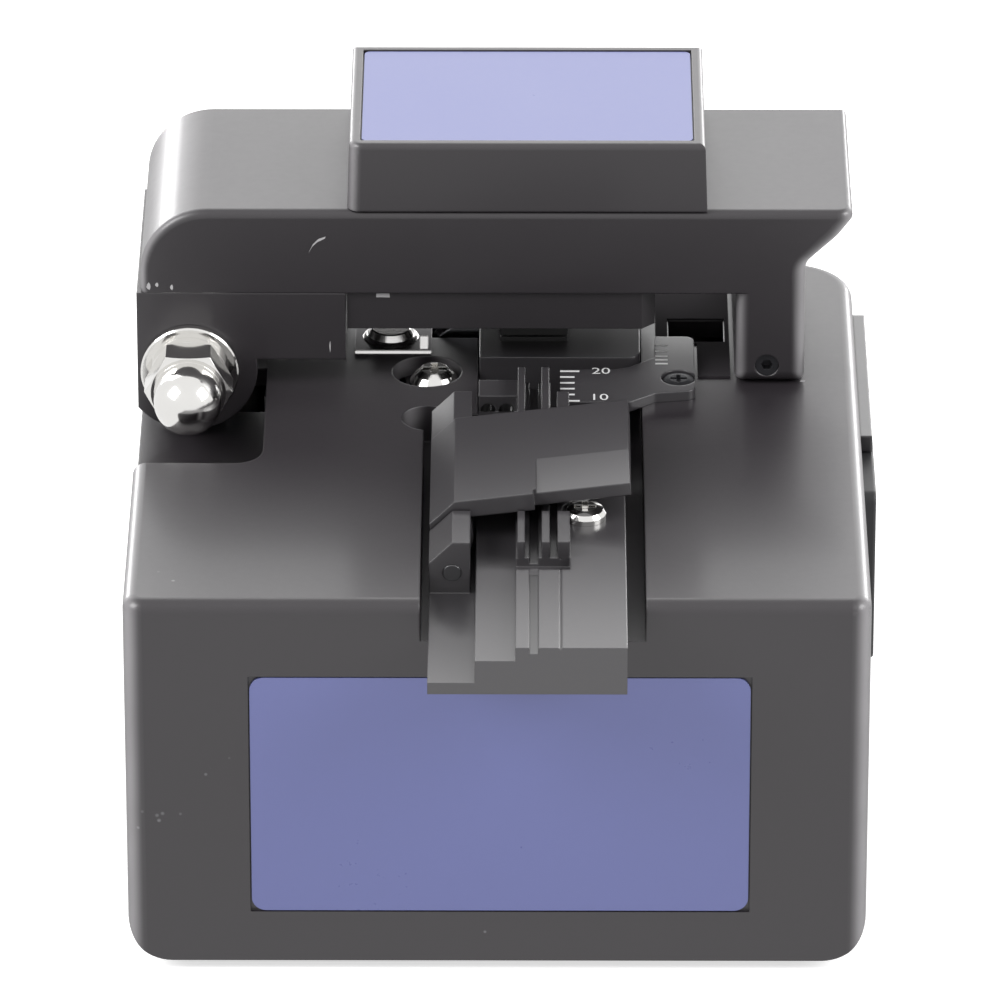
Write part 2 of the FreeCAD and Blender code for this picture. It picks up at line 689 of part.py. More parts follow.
def front_plate():
    """The thin name plate's blank, in its recess on the front."""
    plate = Piece("front_plate")
    rear = s.front_recess - half_depth
    plate.pad("XZ", rear - s.front_plate_thick, rear,
              rect(s.plate_left, s.plate_right, s.plate_low, s.plate_high))
    return plate.fillet(s.plate_corner, {"along": "Y"})


# ---------------------------------------------------------------- lever
def lever_shell():
    """The lever: a channel bar with a finger lip and a catch leg at its right end."""
    shell = Piece("lever_shell")
    lip = s.lever_top - s.lip_edge
    shell.pad("XZ", s.lever_front, lever_rear, [
        (s.lever_left, bar_low), (leg_inner, bar_low), (leg_inner, leg_low),
        (s.leg_outer, leg_low), (s.leg_outer, s.lever_top - s.lip_drop),
        (s.leg_outer + 2.9, s.lever_top - 2.75), (s.lip_reach, lip),
        (s.lip_reach, s.lever_top), (s.lever_left, s.lever_top)])
    shell.fillet(s.lever_round, {"along": "Y", "x": s.lever_left, "z": s.lever_top})
    shell.fillet(1.4 + 0 * s.wall, {"along": "Y", "x": s.leg_outer,
                                    "z": s.lever_top - s.lip_drop})
    shell.fillet(5.0 + 0 * s.wall, {"along": "Y", "x": s.leg_outer + 2.9})
    shell.fillet(s.lever_edge, {"along": "Y", "x": s.leg_outer, "z": leg_low},
                 {"along": "Y", "x": leg_inner, "z": leg_low})
    shell.fillet(s.leg_edge, {"along": "Z", "x": s.leg_outer, "y": s.lever_front})
    shell.fillet(s.lever_edge, {"along": "X", "y": s.lever_front, "z": s.lever_top})
    shell.pocket("XY", bar_low, s.lever_top - s.lever_wall,
                 rect(s.clamp_left + s.clamp_wall, leg_inner - s.lever_wall,
                      s.lever_front + s.lever_wall, lever_rear - s.lever_wall))
    shell.pocket("XY", leg_low, leg_low + s.magnet_thick,
                 disc(magnet_x, magnet_y, s.magnet_radius))
    shell.pocket("XZ", s.lever_front, magnet_y - s.magnet_radius / 2,
                 disc(magnet_x - 0.26, leg_low + 1.85, s.set_screw_radius))
    return shell


def pivot_block():
    """The clevis under the bar's left end that turns on the shaft."""
    piece = Piece("pivot_block")
    piece.pad("XZ", s.lever_front, lever_rear, rect(hub_left, hub_right, block_low, bar_low))
    for front, rear in ((s.lever_front, hub_gap_front), (hub_gap_rear, lever_rear)):
        piece.pad("XZ", front, rear, disc(s.pivot_x, s.pivot_height, s.hub_radius))
    piece.pocket("XZ", hub_gap_front, hub_gap_rear,
                 rect(hub_left - 1, s.pivot_x + s.hub_radius + 0.1, block_low - 1,
                      s.pivot_height + s.crank_eye + 0.8))
    piece.pocket("XZ", s.lever_front, lever_rear,
                 disc(s.pivot_x, s.pivot_height, s.shaft_radius + s.turning_gap))
    return piece.pocket("XZ", s.lever_front, lever_rear,
                        rect(hub_left - 3, hub_left, notch_floor, bar_low))


def thumb_pad():
    """The raised pad on the lever, slightly drafted, with a recess for its plate."""
    pad = Piece("thumb_pad")
    right = s.pad_left + s.pad_width
    top = s.lever_top + s.pad_height
    pad.pad("XY", s.lever_top, top,
            rect(s.pad_left, right, s.lever_front, lever_rear), taper=-s.pad_draft)
    pad.fillet(s.pad_corner, {"x": (s.pad_left - 1, s.pad_left + 1), "y": (s.lever_front - 1,
               s.lever_front + 1), "z": (s.lever_top, top)})
    return pad


def pad_top_inset():
    """How far the draft brings the pad's top edges in."""
    return s.pad_height * math.tan(math.radians(number(s.pad_draft)))


def thumb_pad_with_recess():
    """The thumb pad with its edges softened and the plate's recess cut in."""
    inset = s.pad_rim - s.plate_gap
    pad = thumb_pad()
    top = s.lever_top + s.pad_height
    pad.fillet(s.pad_edge, {"z": top})
    return pad.pocket("XY", top - s.plate_recess, top,
                      rect(s.pad_left + inset, s.pad_left + s.pad_width - inset,
                           s.lever_front + inset, lever_rear - inset))


def pad_plate():
    """The thin plate in the thumb pad's recess, left blank."""
    low = s.lever_top + s.pad_height - s.plate_recess
    plate = Piece("pad_plate")
    plate.pad("XY", low, low + s.plate_recess - s.pad_plate_sink,
              rect(s.pad_left + s.pad_rim, s.pad_left + s.pad_width - s.pad_rim,
                   s.lever_front + s.pad_rim, lever_rear - s.pad_rim))
    return plate.fillet(0.6 + 0 * s.wall, {"along": "Z"})


def crank_arm():
    """The flat arm on the front lug that pushes the blade carriage."""
    front = hub_gap_front
    arm = Piece("crank_arm")
    arm.pad("XZ", front, front + s.crank_thick,
            [(s.pivot_x - s.crank_eye, s.pivot_height), (s.pivot_x - s.crank_tip, drive_low),
             (s.pivot_x + s.crank_tip, drive_low), (s.pivot_x + s.crank_eye, s.pivot_height)])
    arm.pad("XZ", front, front + s.crank_thick, disc(s.pivot_x, s.pivot_height, s.crank_eye))
    arm.pad("XZ", front, front + s.crank_thick, disc(s.pivot_x, drive_low, s.crank_tip))
    arm.pocket("XZ", front, front + s.crank_thick,
               disc(s.pivot_x, s.pivot_height, s.shaft_radius + s.turning_gap))
    return arm.pocket("XZ", front, front + s.crank_thick,
                      disc(s.pivot_x, drive_low, s.drive_pin_radius))


fork_front = blade_y - s.fork_thick / 2


def drive_pin():
    """The pin between the crank arm and the carriage's fork."""
    return rod("drive_pin", "Y", s.pivot_x, hub_gap_front, drive_low, s.drive_pin_radius,
               fork_front + s.fork_thick + 0.4 - hub_gap_front)


def latch_magnet():
    """The disc magnet in the foot of the catch leg."""
    return rod("latch_magnet", "Z", magnet_x, magnet_y, leg_low, s.magnet_radius,
               s.magnet_thick - 0.02)


def latch_keeper():
    """The steel disc that the magnet holds, flush with the body's top."""
    return rod("latch_keeper", "Z", magnet_x, magnet_y, top_level - s.keeper_thick,
               s.keeper_radius, s.keeper_thick)


def magnet_screw():
    """The set screw in the front of the catch leg, with its hexagon socket."""
    screw = Piece("magnet_screw")
    front = s.lever_front + s.set_screw_sink
    screw.pad("XZ", front, magnet_y - s.magnet_radius,
              disc(magnet_x - 0.26, leg_low + 1.85, s.set_screw_radius - 0.02))
    flat = 0.55
    corners = [(magnet_x - 0.26 + flat * math.cos(math.radians(60 * step)),
                leg_low + 1.85 + flat * math.sin(math.radians(60 * step))) for step in range(6)]
    return screw.pocket("XZ", front, front + 0.9, corners)


# ---------------------------------------------------------------- clamp under the lever
clamp_right = s.clamp_left + s.clamp_width
clamp_low = bar_low - s.clamp_skirt
holder_mid_y = blade_y
holder_left = s.fibre_x - s.holder_length / 2
pads_low = grip_top + s.pad_bite_gap
holder_low = pads_low + 1.9
pin_left = s.fibre_x - s.clamp_pin_pitch / 2
pin_right = s.fibre_x + s.clamp_pin_pitch / 2
pocket_roof = s.lever_top - s.lever_wall


def clamp_guide():
    """The skirt under the bar that guides the clamp."""
    guide = Piece("clamp_guide")
    front, rear = s.lever_front + 0.3, lever_rear - 0.2
    guide.pad("XY", clamp_low, bar_low, rect(s.clamp_left + 0.05, clamp_right, front, rear))
    guide.pocket("XY", clamp_low, bar_low,
                 rect(holder_left - 0.15, holder_left + s.holder_length + 0.15,
                      holder_mid_y - s.holder_depth / 2 - 0.15,
                      holder_mid_y + s.holder_depth / 2 + 0.15))
    return guide.chamfer(1.2 + 0 * s.wall, {"along": "Z", "x": clamp_right})


def clamp_holder():
    """The sprung block that carries the upper pads, with its two pin bores."""
    holder = Piece("clamp_holder")
    top = holder_low + s.holder_height
    holder.pad("XY", holder_low, top,
               rect(holder_left, holder_left + s.holder_length,
                    holder_mid_y - s.holder_depth / 2, holder_mid_y + s.holder_depth / 2))
    bores = [disc(x, holder_mid_y, s.clamp_pin_radius + 0.04) for x in (pin_left, pin_right)]
    holder.pocket("XY", holder_low, top, *bores)
    holder.pocket("XY", holder_low, pin_head_top + s.seat_gap,
                  *[disc(x, holder_mid_y, s.clamp_pin_radius + 1.0) for x in (pin_left, pin_right)])
    return holder.pocket("XZ", holder_mid_y - 1.0, holder_mid_y + 1.0,
                         rect(s.fibre_x - 2.2, s.fibre_x + 2.2, holder_low, holder_low + 1.2))


pin_head_low = holder_low + 1.4
pin_head_top = pin_head_low + 0.8


def clamp_pins():
    """The two shouldered pins that the clamp slides on."""
    pins = []
    for index, x in enumerate((pin_left, pin_right), start=1):
        pin = Piece(f"clamp_pin{index}")
        head = s.clamp_pin_radius + 0.8
        pin.turn("XZ", "V_Axis", [(0, 0), (head, 0), (head, 0.8), (s.clamp_pin_radius, 0.8),
                                  (s.clamp_pin_radius, pocket_roof - pin_head_low),
                                  (0, pocket_roof - pin_head_low)])
        pins.append(pin.place(x, holder_mid_y, pin_head_low))
    return group("clamp_pins", *pins)


def clamp_springs():
    """The two coil springs over the pins, between the clamp and the lever."""
    springs = []
    low = holder_low + s.holder_height + s.spring_wire + 0.02
    length = pocket_roof - s.spring_wire - 0.04 - low
    for index, x in enumerate((pin_left, pin_right), start=1):
        coil = doc.addObject("Part::Helix", f"spring_path{index}")
        bind(coil, "Radius", s.spring_coil)
        bind(coil, "Height", length)
        bind(coil, "Pitch", length / s.spring_turns)
        section = doc.addObject("Part::Circle", f"spring_section{index}")
        section.Placement = Placement(Vector(), Rotation(Vector(1, 0, 0), 90))
        bind(section, "Radius", s.spring_wire)
        bind(section, "Placement.Base.x", s.spring_coil)
        doc.recompute()
        sweep = doc.addObject("Part::Sweep", f"spring{index}")
        sweep.Sections = [section]
        sweep.Spine = (coil, [f"Edge{number + 1}" for number in range(len(coil.Shape.Edges))])
        sweep.Solid = True
        sweep.Frenet = True
        put(sweep, x, holder_mid_y, low)
        springs.append(sweep)
    return group("clamp_springs", *springs)


def grip_pads(name, low, high):
    """Two rubber pads on the fibre line, in front of the blade and behind it."""
    pads = []
    for index, side in enumerate((-1, 1), start=1):
        middle = blade_y + side * (s.grip_pad_gap + s.grip_pad_length) / 2
        pad = Piece(f"{name}{index}")
        pad.pad("XY", low, high, rect(s.fibre_x - s.grip_pad_width / 2,
                                      s.fibre_x + s.grip_pad_width / 2,
                                      middle - s.grip_pad_length / 2,
                                      middle + s.grip_pad_length / 2))
        pads.append(pad)
    return pads


def breaking_anvil():
    """The small wedge between the upper pads that bends the scored fibre."""
    wedge = Piece("breaking_anvil")
    low = pads_low + 0.35
    return wedge.pad("YZ", s.fibre_x - 2.0, s.fibre_x + 2.0,
                     [(holder_mid_y - 0.9, holder_low + 1.2), (holder_mid_y - 0.9, low + 1.0),
                      (holder_mid_y - 0.25, low), (holder_mid_y + 0.25, low),
                      (holder_mid_y + 0.9, low + 1.0), (holder_mid_y + 0.9, holder_low + 1.2)])


# ---------------------------------------------------------------- pivot hardware
def pivot_shaft():
    """The shaft, fast in the rear ear, on which the lever turns."""
    rear = notch_rear + s.ear_thick - 1.6
    front = washer_front - s.spring_washer_thick - s.nut_length + 2.6
    shaft = Piece("pivot_shaft")
    shaft.turn("YZ", "H_Axis", [(0, 0), (rear - front, 0), (rear - front, s.shaft_radius),
                                (0.4, s.shaft_radius), (0, s.shaft_radius - 0.4)])
    return shaft.place(s.pivot_x, front, s.pivot_height)


washer_rear = s.lever_front - s.seat_gap
washer_front = washer_rear - s.washer_thick


def flat_washer():
    """The wide washer against the lever's hub."""
    washer = Piece("flat_washer")
    washer.turn("YZ", "H_Axis", [(0, s.shaft_radius), (s.washer_thick, s.shaft_radius),
                                 (s.washer_thick, s.washer_radius), (0.15, s.washer_radius),
                                 (0, s.washer_radius - 0.15)])
    return washer.place(s.pivot_x, washer_front, s.pivot_height)


def spring_washer():
    """The split spring washer under the nut."""
    washer = Piece("spring_washer")
    washer.turn("YZ", "H_Axis", rect(0, s.spring_washer_thick, s.shaft_radius,
                                     s.spring_washer_radius))
    washer.pocket("YZ", s.shaft_radius - 0.5, s.spring_washer_radius + 0.5,
                  [(-0.1, -0.5), (s.spring_washer_thick + 0.1, -0.1),
                   (s.spring_washer_thick + 0.1, 0.5), (-0.1, 0.1)])
    return washer.place(s.pivot_x, washer_front - s.spring_washer_thick, s.pivot_height)


def acorn_nut():
    """The domed cap nut: a chamfered hexagon with a turned dome."""
    hexagon = doc.addObject("Part::Prism", "nut_hexagon")
    hexagon.Polygon = 6
    hexagon.Placement = Placement(Vector(), Rotation(Vector(1, 0, 0), 90))
    corner = s.nut_flats / 2 / math.cos(math.radians(30))
    bind(hexagon, "Circumradius", corner)
    bind(hexagon, "Height", s.nut_hex)
    envelope = Piece("nut_envelope")
    envelope.turn("YZ", "H_Axis", [(0, 0), (0, corner - 0.5), (-0.3, corner), (0.3 - s.nut_hex,
                  corner), (-s.nut_hex, corner - 0.6), (-s.nut_hex, 0)])
    head = common("nut_head", hexagon, envelope)
    dome = Piece("nut_dome")
    straight = s.nut_length - s.nut_hex - s.nut_dome
    dome.turn("YZ", "H_Axis", [(-s.nut_hex, 0), (-s.nut_hex, s.nut_dome),
                               (-s.nut_hex - straight, s.nut_dome), (-s.nut_length, 0)])
    ball = doc.addObject("Part::Sphere", "nut_ball")
    bind(ball, "Radius", s.nut_dome)
    put(ball, 0 * s.wall, -s.nut_hex - straight, 0 * s.wall)
    solid = fuse("nut_solid", head, dome, ball)
    bore = rod("nut_bore", "Y", 0 * s.wall, 2.6 - s.nut_length, 0 * s.wall, s.shaft_radius,
               s.nut_length)
    nut = cut("acorn_nut", solid, bore)
    put(nut, s.pivot_x, washer_front - s.spring_washer_thick, s.pivot_height)
    return nut


# ---------------------------------------------------------------- fixture
def fixture_base():
    """The removable fibre fixture: its grooves, ridges and hinge knuckles."""
    base = Piece("fixture_base")
    rib_left = deck_right
    groove = s.fibre_x - s.groove_width / 2
    fine = s.fibre_x + s.ridge_width + s.channel_width
    side = -s.fixture_side_rear
    base.pad("XZ", fixture_front, s.fixture_rear, [
        (s.fixture_left, seat), (s.fibre_x + 1.5, seat), (s.fibre_x + 1.5, bench_top),
        (groove + s.groove_width, bench_top), (groove + s.groove_width, bench_top - s.groove_depth),
        (groove, bench_top - s.groove_depth), (groove, bench_top), (rib_left, bench_top),
        (rib_left, deck_top), (flange_right, deck_top), (flange_right, flange_top),
        (s.fixture_left, flange_top)])
    base.pad("XZ", fixture_front, s.fixture_side_rear, [
        (s.fibre_x + 1.4, seat), (s.fixture_right, seat), (s.fixture_right, bench_top),
        (fine + s.fine_groove_width, bench_top),
        (fine + s.fine_groove_width / 2, bench_top - s.fine_groove_depth), (fine, bench_top),
        (s.fibre_x + 1.4, bench_top)])
    base.pocket("XY", seat, flange_top + 1, rect(s.fixture_left - 1, flange_right,
                                                 s.fixture_side_rear, s.fixture_rear + 1))
    return ridges_and_knuckles(base)


def ridge_spans():
    """The left and right sides of the three fibre ridges."""
    middle = s.fibre_x - 0.06
    left = middle - s.channel_width / 2
    right = middle + s.channel_width / 2
    last = right + s.ridge_width + s.ridge_width
    return [(left - s.ridge_width + 0.05, left), (right, right + s.ridge_width),
            (last, last + s.outer_ridge_width)]


def ridges_and_knuckles(base):
    """Add the ridges, the cross gate in front of them, the knuckles and the bores."""
    gate_rear = s.gate_front + s.gate_width
    lid_front = s.knuckle_front + s.knuckle_length
    for count, (left, right) in enumerate(ridge_spans()):
        rear = s.fixture_rear if count < 2 else s.fixture_side_rear
        base.pad("XZ", gate_rear, lid_front, rect(left, right, bench_top - 0.05,
                                                  bench_top + s.ridge_height))
        base.pad("XZ", lid_front, s.rear_knuckle_front, rect(left, right, bench_top - 0.05,
                                                             bench_top + s.low_ridge_height))
        base.pad("XZ", s.rear_knuckle_front, rear, rect(left, right, bench_top - 0.05,
                                                        bench_top + s.ridge_height))
    base.pocket("XZ", s.gate_front, gate_rear,
                rect(deck_right, ridge_spans()[2][1], bench_top - s.gate_depth, bench_top + 1))
    top = seat + s.knuckle_height
    for front, length in ((s.knuckle_front, s.knuckle_length),
                          (s.rear_knuckle_front, s.rear_knuckle_length)):
        base.pad("XZ", front, front + length, [
            (s.fixture_left, flange_top - 0.1), (flange_right - 0.5, flange_top - 0.1),
            (flange_right - 0.5, top), (s.fixture_left + s.knuckle_chamfer, top),
            (s.fixture_left, top - s.knuckle_chamfer)])
    base.pad("XZ", s.fixture_rear - 3.3, s.fixture_rear,
             rect(flange_right + 0.1, deck_right + 0.1, deck_top - 0.1, deck_top + 1.6))
    base.pocket("XZ", s.fixture_rear - 3.3, s.fixture_rear,
                *[disc(x, deck_top + 0.1, 0.7 + 0 * s.wall)
                  for x in (flange_right + 0.95, flange_right + 2.65)])
    base.pocket("XZ", s.knuckle_front, s.rear_knuckle_front + s.rear_knuckle_length - 0.6,
                disc(s.hinge_x, hinge_z, s.pin_radius))
    base.pocket("XY", seat, bench_top + 0.5, disc(s.fixture_screw_x, s.fixture_screw_y,
                                                  s.small_shank + 0.1))
    base.pocket("XY", bench_top, bench_top + s.ridge_height + 0.5,
                disc(s.fixture_screw_x, s.fixture_screw_y, s.pan_radius + 0.15))
    return base


def lid_hinge_pin():
    """The pin through the knuckles and the lid."""
    return rod("lid_hinge_pin", "Y", s.hinge_x, s.knuckle_front - 0.1, hinge_z, s.pin_radius,
               s.rear_knuckle_front + s.rear_knuckle_length - 0.5 - s.knuckle_front)


def fixture_screw():
    """The screw that holds the fixture in its slot."""
    return pan_screw("fixture_screw", s.fixture_screw_x, s.fixture_screw_y, bench_top,
                     s.pan_radius, s.pan_height, s.small_shank,
                     bench_top - s.slot_floor + s.wall - 0.2)


lid_front = s.knuckle_front + s.knuckle_length + s.lid_side_gap
lid_rear = s.rear_knuckle_front - s.lid_side_gap
lid_under = s.lid_top - s.lid_thick
lid_pad_x = s.fibre_x - s.hinge_x
magnet_off = s.fixture_screw_x - s.hinge_x


def lay_lid(piece):
    """Put a lid piece, drawn flat about the hinge, on the hinge and tilt it to rest."""
    return piece.place(s.hinge_x, 0 * s.wall, hinge_z, Vector(0, -1, 0), s.lid_tilt)


def fixture_lid():
    """The hinged lid with its stepped, bevelled front edge and its hinge lobe."""
    lid = Piece("fixture_lid")
    lid.pad("XZ", lid_front, lid_rear, [
        (-s.lid_lobe, 0), (s.lid_lobe, 0), (s.lid_lobe, lid_under), (s.lid_length, lid_under),
        (s.lid_length, s.lid_top), (0.6, s.lid_top), (-s.lid_lobe, s.lid_top - 1.9)])
    lid.pad("XZ", lid_front, lid_rear, disc(0, 0, s.lid_lobe))
    step_x = lid_pad_x + 0.4
    lid.pocket("XZ", lid_front, lid_front + s.lid_step,
               rect(step_x, s.lid_length + 1, lid_under - 1, s.lid_top + 1))
    front = lid_front + s.lid_step
    lid.pocket("YZ", step_x + 0.3, s.lid_length + 1,
               [(front - 0.1, s.lid_top - s.lid_bevel_drop), (front + s.lid_bevel_length,
                s.lid_top + 0.01), (front - 0.1, s.lid_top + 0.5)])
    lid.pocket("XZ", lid_front, lid_rear, disc(0, 0, s.pin_radius + s.turning_gap))
    lid.pocket("XY", lid_under, lid_under + 0.3,
               rect(lid_pad_x - s.lid_pad_width / 2, lid_pad_x + s.lid_pad_width / 2,
                    lid_pad_front, lid_pad_front + s.lid_pad_length))
    lid.pocket("XY", lid_under, lid_under + s.lid_magnet_thick - 0.4,
               disc(magnet_off, lid_magnet_y, s.lid_magnet_radius))
    return lay_lid(lid)


lid_pad_front = lid_front + 2.6
lid_magnet_y = lid_front + s.lid_step + s.lid_magnet_radius + 0.6


def lid_pad():
    """The rubber strip under the lid that holds the fibre down."""
    pad = Piece("lid_pad")
    pad.pad("XY", lid_under - 0.25, lid_under + 0.3,
            rect(lid_pad_x - s.lid_pad_width / 2, lid_pad_x + s.lid_pad_width / 2,
                 lid_pad_front, lid_pad_front + s.lid_pad_length))
    return lay_lid(pad)


def lid_magnet():
    """The magnet in the lid that pulls it down to the fixture's screw."""
    magnet = Piece("lid_magnet")
    magnet.pad("XY", lid_under - 0.4, lid_under + s.lid_magnet_thick - 0.4,
               disc(magnet_off, lid_magnet_y, s.lid_magnet_radius))
    return lay_lid(magnet)


# ---------------------------------------------------------------- anvil, blade and carriage
def anvil_block():
    """The block behind the fixture that carries the lower pads, slit for the blade."""
    anvil = Piece("anvil_block")
    right = s.slot_right - s.anvil_clear
    left = s.slot_inner + s.anvil_clear
    rear = s.slot_end - s.anvil_clear
    anvil.pad("XY", seat, s.anvil_top, rect(left, right, s.anvil_front, rear))
    anvil.fillet(s.anvil_round - s.anvil_clear, {"along": "Z", "y": rear})
    anvil.fillet(1.2 + 0 * s.wall, {"along": "Z", "x": right, "y": s.anvil_front})
    anvil.pocket("XY", seat, s.anvil_top,
                 rect(left - 1, blade_x + s.carriage_travel + blade_half_slot(),
                      blade_y - s.blade_gap - 0.6, blade_y + s.blade_gap + 0.6))
    anvil.pocket("XZ", blade_y - 2.5, blade_y + 5.2,
                 rect(left - 1, blade_x + s.carriage_travel + s.arm_half_width + 1.0, seat,
                      blade_z + s.arm_half_width + 0.5))
    anvil.pocket("XZ", blade_y - s.blade_gap - 0.6, blade_y + s.blade_gap + 0.6,
                 rect(left - 1, right - 0.4, seat, s.anvil_top - 1.8))
    anvil.pocket("XY", seat, seat + 4, *[disc(x, y, s.small_shank)
                                         for x, y in anvil_screw_places()])
    return anvil.pocket("XY", s.anvil_top - s.grip_pad_sink, s.anvil_top, *[
        rect(s.fibre_x - s.grip_pad_width / 2, s.fibre_x + s.grip_pad_width / 2,
             blade_y + side * (s.grip_pad_gap + s.grip_pad_length) / 2 - s.grip_pad_length / 2,
             blade_y + side * (s.grip_pad_gap + s.grip_pad_length) / 2 + s.grip_pad_length / 2)
        for side in (-1, 1)])


def anvil_screw_places():
    """Where the anvil's two screws come up from below."""
    x = s.slot_right - 2.2
    return [(x, s.anvil_front + 2.4), (x, s.slot_end - 2.6)]


def anvil_screws():
    """The anvil's two screws, put in from under the slot's floor."""
    return group("anvil_screws", *[
        pan_screw(f"anvil_screw{index}", x, y, s.slot_floor - s.wall, s.pan_radius, s.pan_height,
                  s.small_shank, s.wall + 3.6, flip=True)
        for index, (x, y) in enumerate(anvil_screw_places(), start=1)])


def blade_half_slot():
    """Half the slit that the blade needs at the anvil's upper part."""
    return s.blade_radius * 0.7 + s.blade_gap


def blade_wheel():
    """The round carbide blade with its ground V edge."""
    wheel = Piece("blade_wheel")
    half = s.blade_thick / 2
    wheel.turn("YZ", "H_Axis", [(-half, s.blade_bore), (half, s.blade_bore),
                                (half, s.blade_radius - s.blade_edge), (0, s.blade_radius),
                                (-half, s.blade_radius - s.blade_edge)])
    return wheel.place(blade_x, blade_y, blade_z)


def blade_screw():
    """The screw that the blade turns on."""
    screw = Piece("blade_screw")
    face = s.blade_thick / 2 + s.seat_gap
    screw.turn("YZ", "H_Axis", [(-face - 1.1, 0), (-face - 1.1, 1.9), (-face, 2.1),
                                (-face, s.blade_bore - s.turning_gap),
                                (face + s.arm_thick, s.blade_bore - s.turning_gap),
                                (face + s.arm_thick, 0)])
    screw.pocket("XZ", -face - 1.1, -face - 0.5, rect(-1.3, 1.3, -0.25, 0.25))
    return screw.place(blade_x, blade_y, blade_z)


def blade_carriage():
    """The carriage: a slider on the rail, the blade's arm and the fork at the left."""
    carriage = Piece("blade_carriage")
    low, high = s.carriage_bar_low, s.carriage_bar_high
    arm_front = blade_y + s.blade_thick / 2 + 2 * s.seat_gap
    fork_left = s.pivot_x - s.drive_pin_radius - s.drive_play - s.fork_wall
    fork_right = s.pivot_x + s.drive_pin_radius + s.drive_play + s.fork_wall
    fork_top = drive_low + s.fork_reach
    rail_y = blade_y + 7.5
    slider_left = blade_x - s.slider_length - 1.2
    carriage.pad("XZ", fork_front, arm_front + s.arm_thick,
                 rect(fork_left, blade_x - s.blade_radius - 1, low, high))
    carriage.pad("XZ", arm_front, arm_front + s.arm_thick,
                 rect(fork_left + 1, blade_x + s.arm_half_width, low, high))
    carriage.pad("XZ", fork_front, fork_front + s.fork_thick,
                 rect(fork_left, fork_right, high - 0.1, fork_top))
    carriage.pad("XZ", arm_front, arm_front + s.arm_thick,
                 rect(blade_x - s.arm_half_width, blade_x + s.arm_half_width, high - 0.1, blade_z))
    carriage.pad("XZ", arm_front, arm_front + s.arm_thick,
                 disc(blade_x, blade_z, s.arm_half_width))
    rail_front = rail_y - s.rail_width / 2
    carriage.pad("YZ", slider_left, slider_left + s.slider_length,
                 rect(arm_front + s.arm_thick - 0.1, rail_y + s.rail_width / 2 + s.slider_wall,
                      low - s.slider_wall, low + s.rail_height + s.slider_wall))
    carriage.pocket("YZ", slider_left - 1, slider_left + s.slider_length + 1,
                    rect(rail_front - s.rail_play, rail_y + s.rail_width / 2 + s.rail_play,
                         low - s.rail_play, low + s.rail_height + s.rail_play))
    carriage.pocket("XZ", fork_front, fork_front + s.fork_thick,
                    rect(fork_left + s.fork_wall, fork_right - s.fork_wall,
                         drive_low - s.drive_pin_radius - 0.5, fork_top + 1))
    return carriage.pocket("XZ", arm_front, arm_front + s.arm_thick,
                           disc(blade_x, blade_z, s.blade_bore - s.turning_gap))


def slide_rail():
    """The rail under the top of the body, screwed to its two bosses."""
    rail = Piece("slide_rail")
    y = blade_y + 7.5
    low = s.carriage_bar_low
    rail.pad("XZ", y - s.rail_width / 2, y + s.rail_width / 2,
             rect(s.rail_left, s.rail_right, low, low + s.rail_height))
    return rail.pocket("XY", low, low + s.rail_height,
                       *[disc(x, y, s.small_shank) for x in rail_screw_places()])


def rail_screw_places():
    """Where the rail's screws stand."""
    return (s.rail_left + s.boss_radius, s.rail_right - s.boss_radius)


def rail_screws():
    """The rail's two screws, put in from below."""
    return group("rail_screws", *[
        pan_screw(f"rail_screw{index}", x, blade_y + 7.5, s.carriage_bar_low, s.pan_radius,
                  s.pan_height, s.small_shank, s.rail_height + 3.6, flip=True)
        for index, x in enumerate(rail_screw_places(), start=1)])


# ---------------------------------------------------------------- plates on the body's top
def scale_plate():
    """The length scale: a tongue beside the fibre that swings back to a screwed tab."""
    plate = Piece("scale_plate")
    plate.pad("XY", top_level, top_level + s.scale_thick, [
        (s.scale_left, s.scale_front), (s.scale_neck_x, s.scale_front),
        (s.tab_left - 0.1, s.tab_front - 0.6), (s.tab_right, s.tab_front),
        (s.tab_right, s.tab_rear), (s.tab_left, s.tab_rear),
        (s.tab_left, s.scale_rear + 2.6), (s.scale_neck_x, s.scale_rear + 0.5),
        (s.scale_neck_x - 1.6, s.scale_rear), (s.scale_left, s.scale_rear)])
    plate.fillet(s.tab_round, {"along": "Z", "x": s.tab_right},
                 {"along": "Z", "x": s.scale_neck_x, "y": s.scale_front},
                 {"along": "Z", "x": s.tab_left - 0.1},
                 {"along": "Z", "x": s.scale_neck_x, "y": s.scale_rear + 0.5})
    x, y = scale_screw_place()
    plate.pocket("XY", top_level, top_level + s.scale_thick, disc(x, y, s.small_shank * 0.8 + 0.05))
    return plate.pocket("XY", top_level + 0.45, top_level + s.scale_thick,
                        disc(x, y, s.small_shank * 1.6))


def scale_screw():
    """The small black screw of the scale plate, sunk in its tab."""
    x, y = scale_screw_place()
    return pan_screw("scale_screw", x, y, top_level + 0.45, s.small_shank * 1.5, 0.5 + 0 * s.wall,
                     s.small_shank * 0.8, 2.0 + 0 * s.wall)


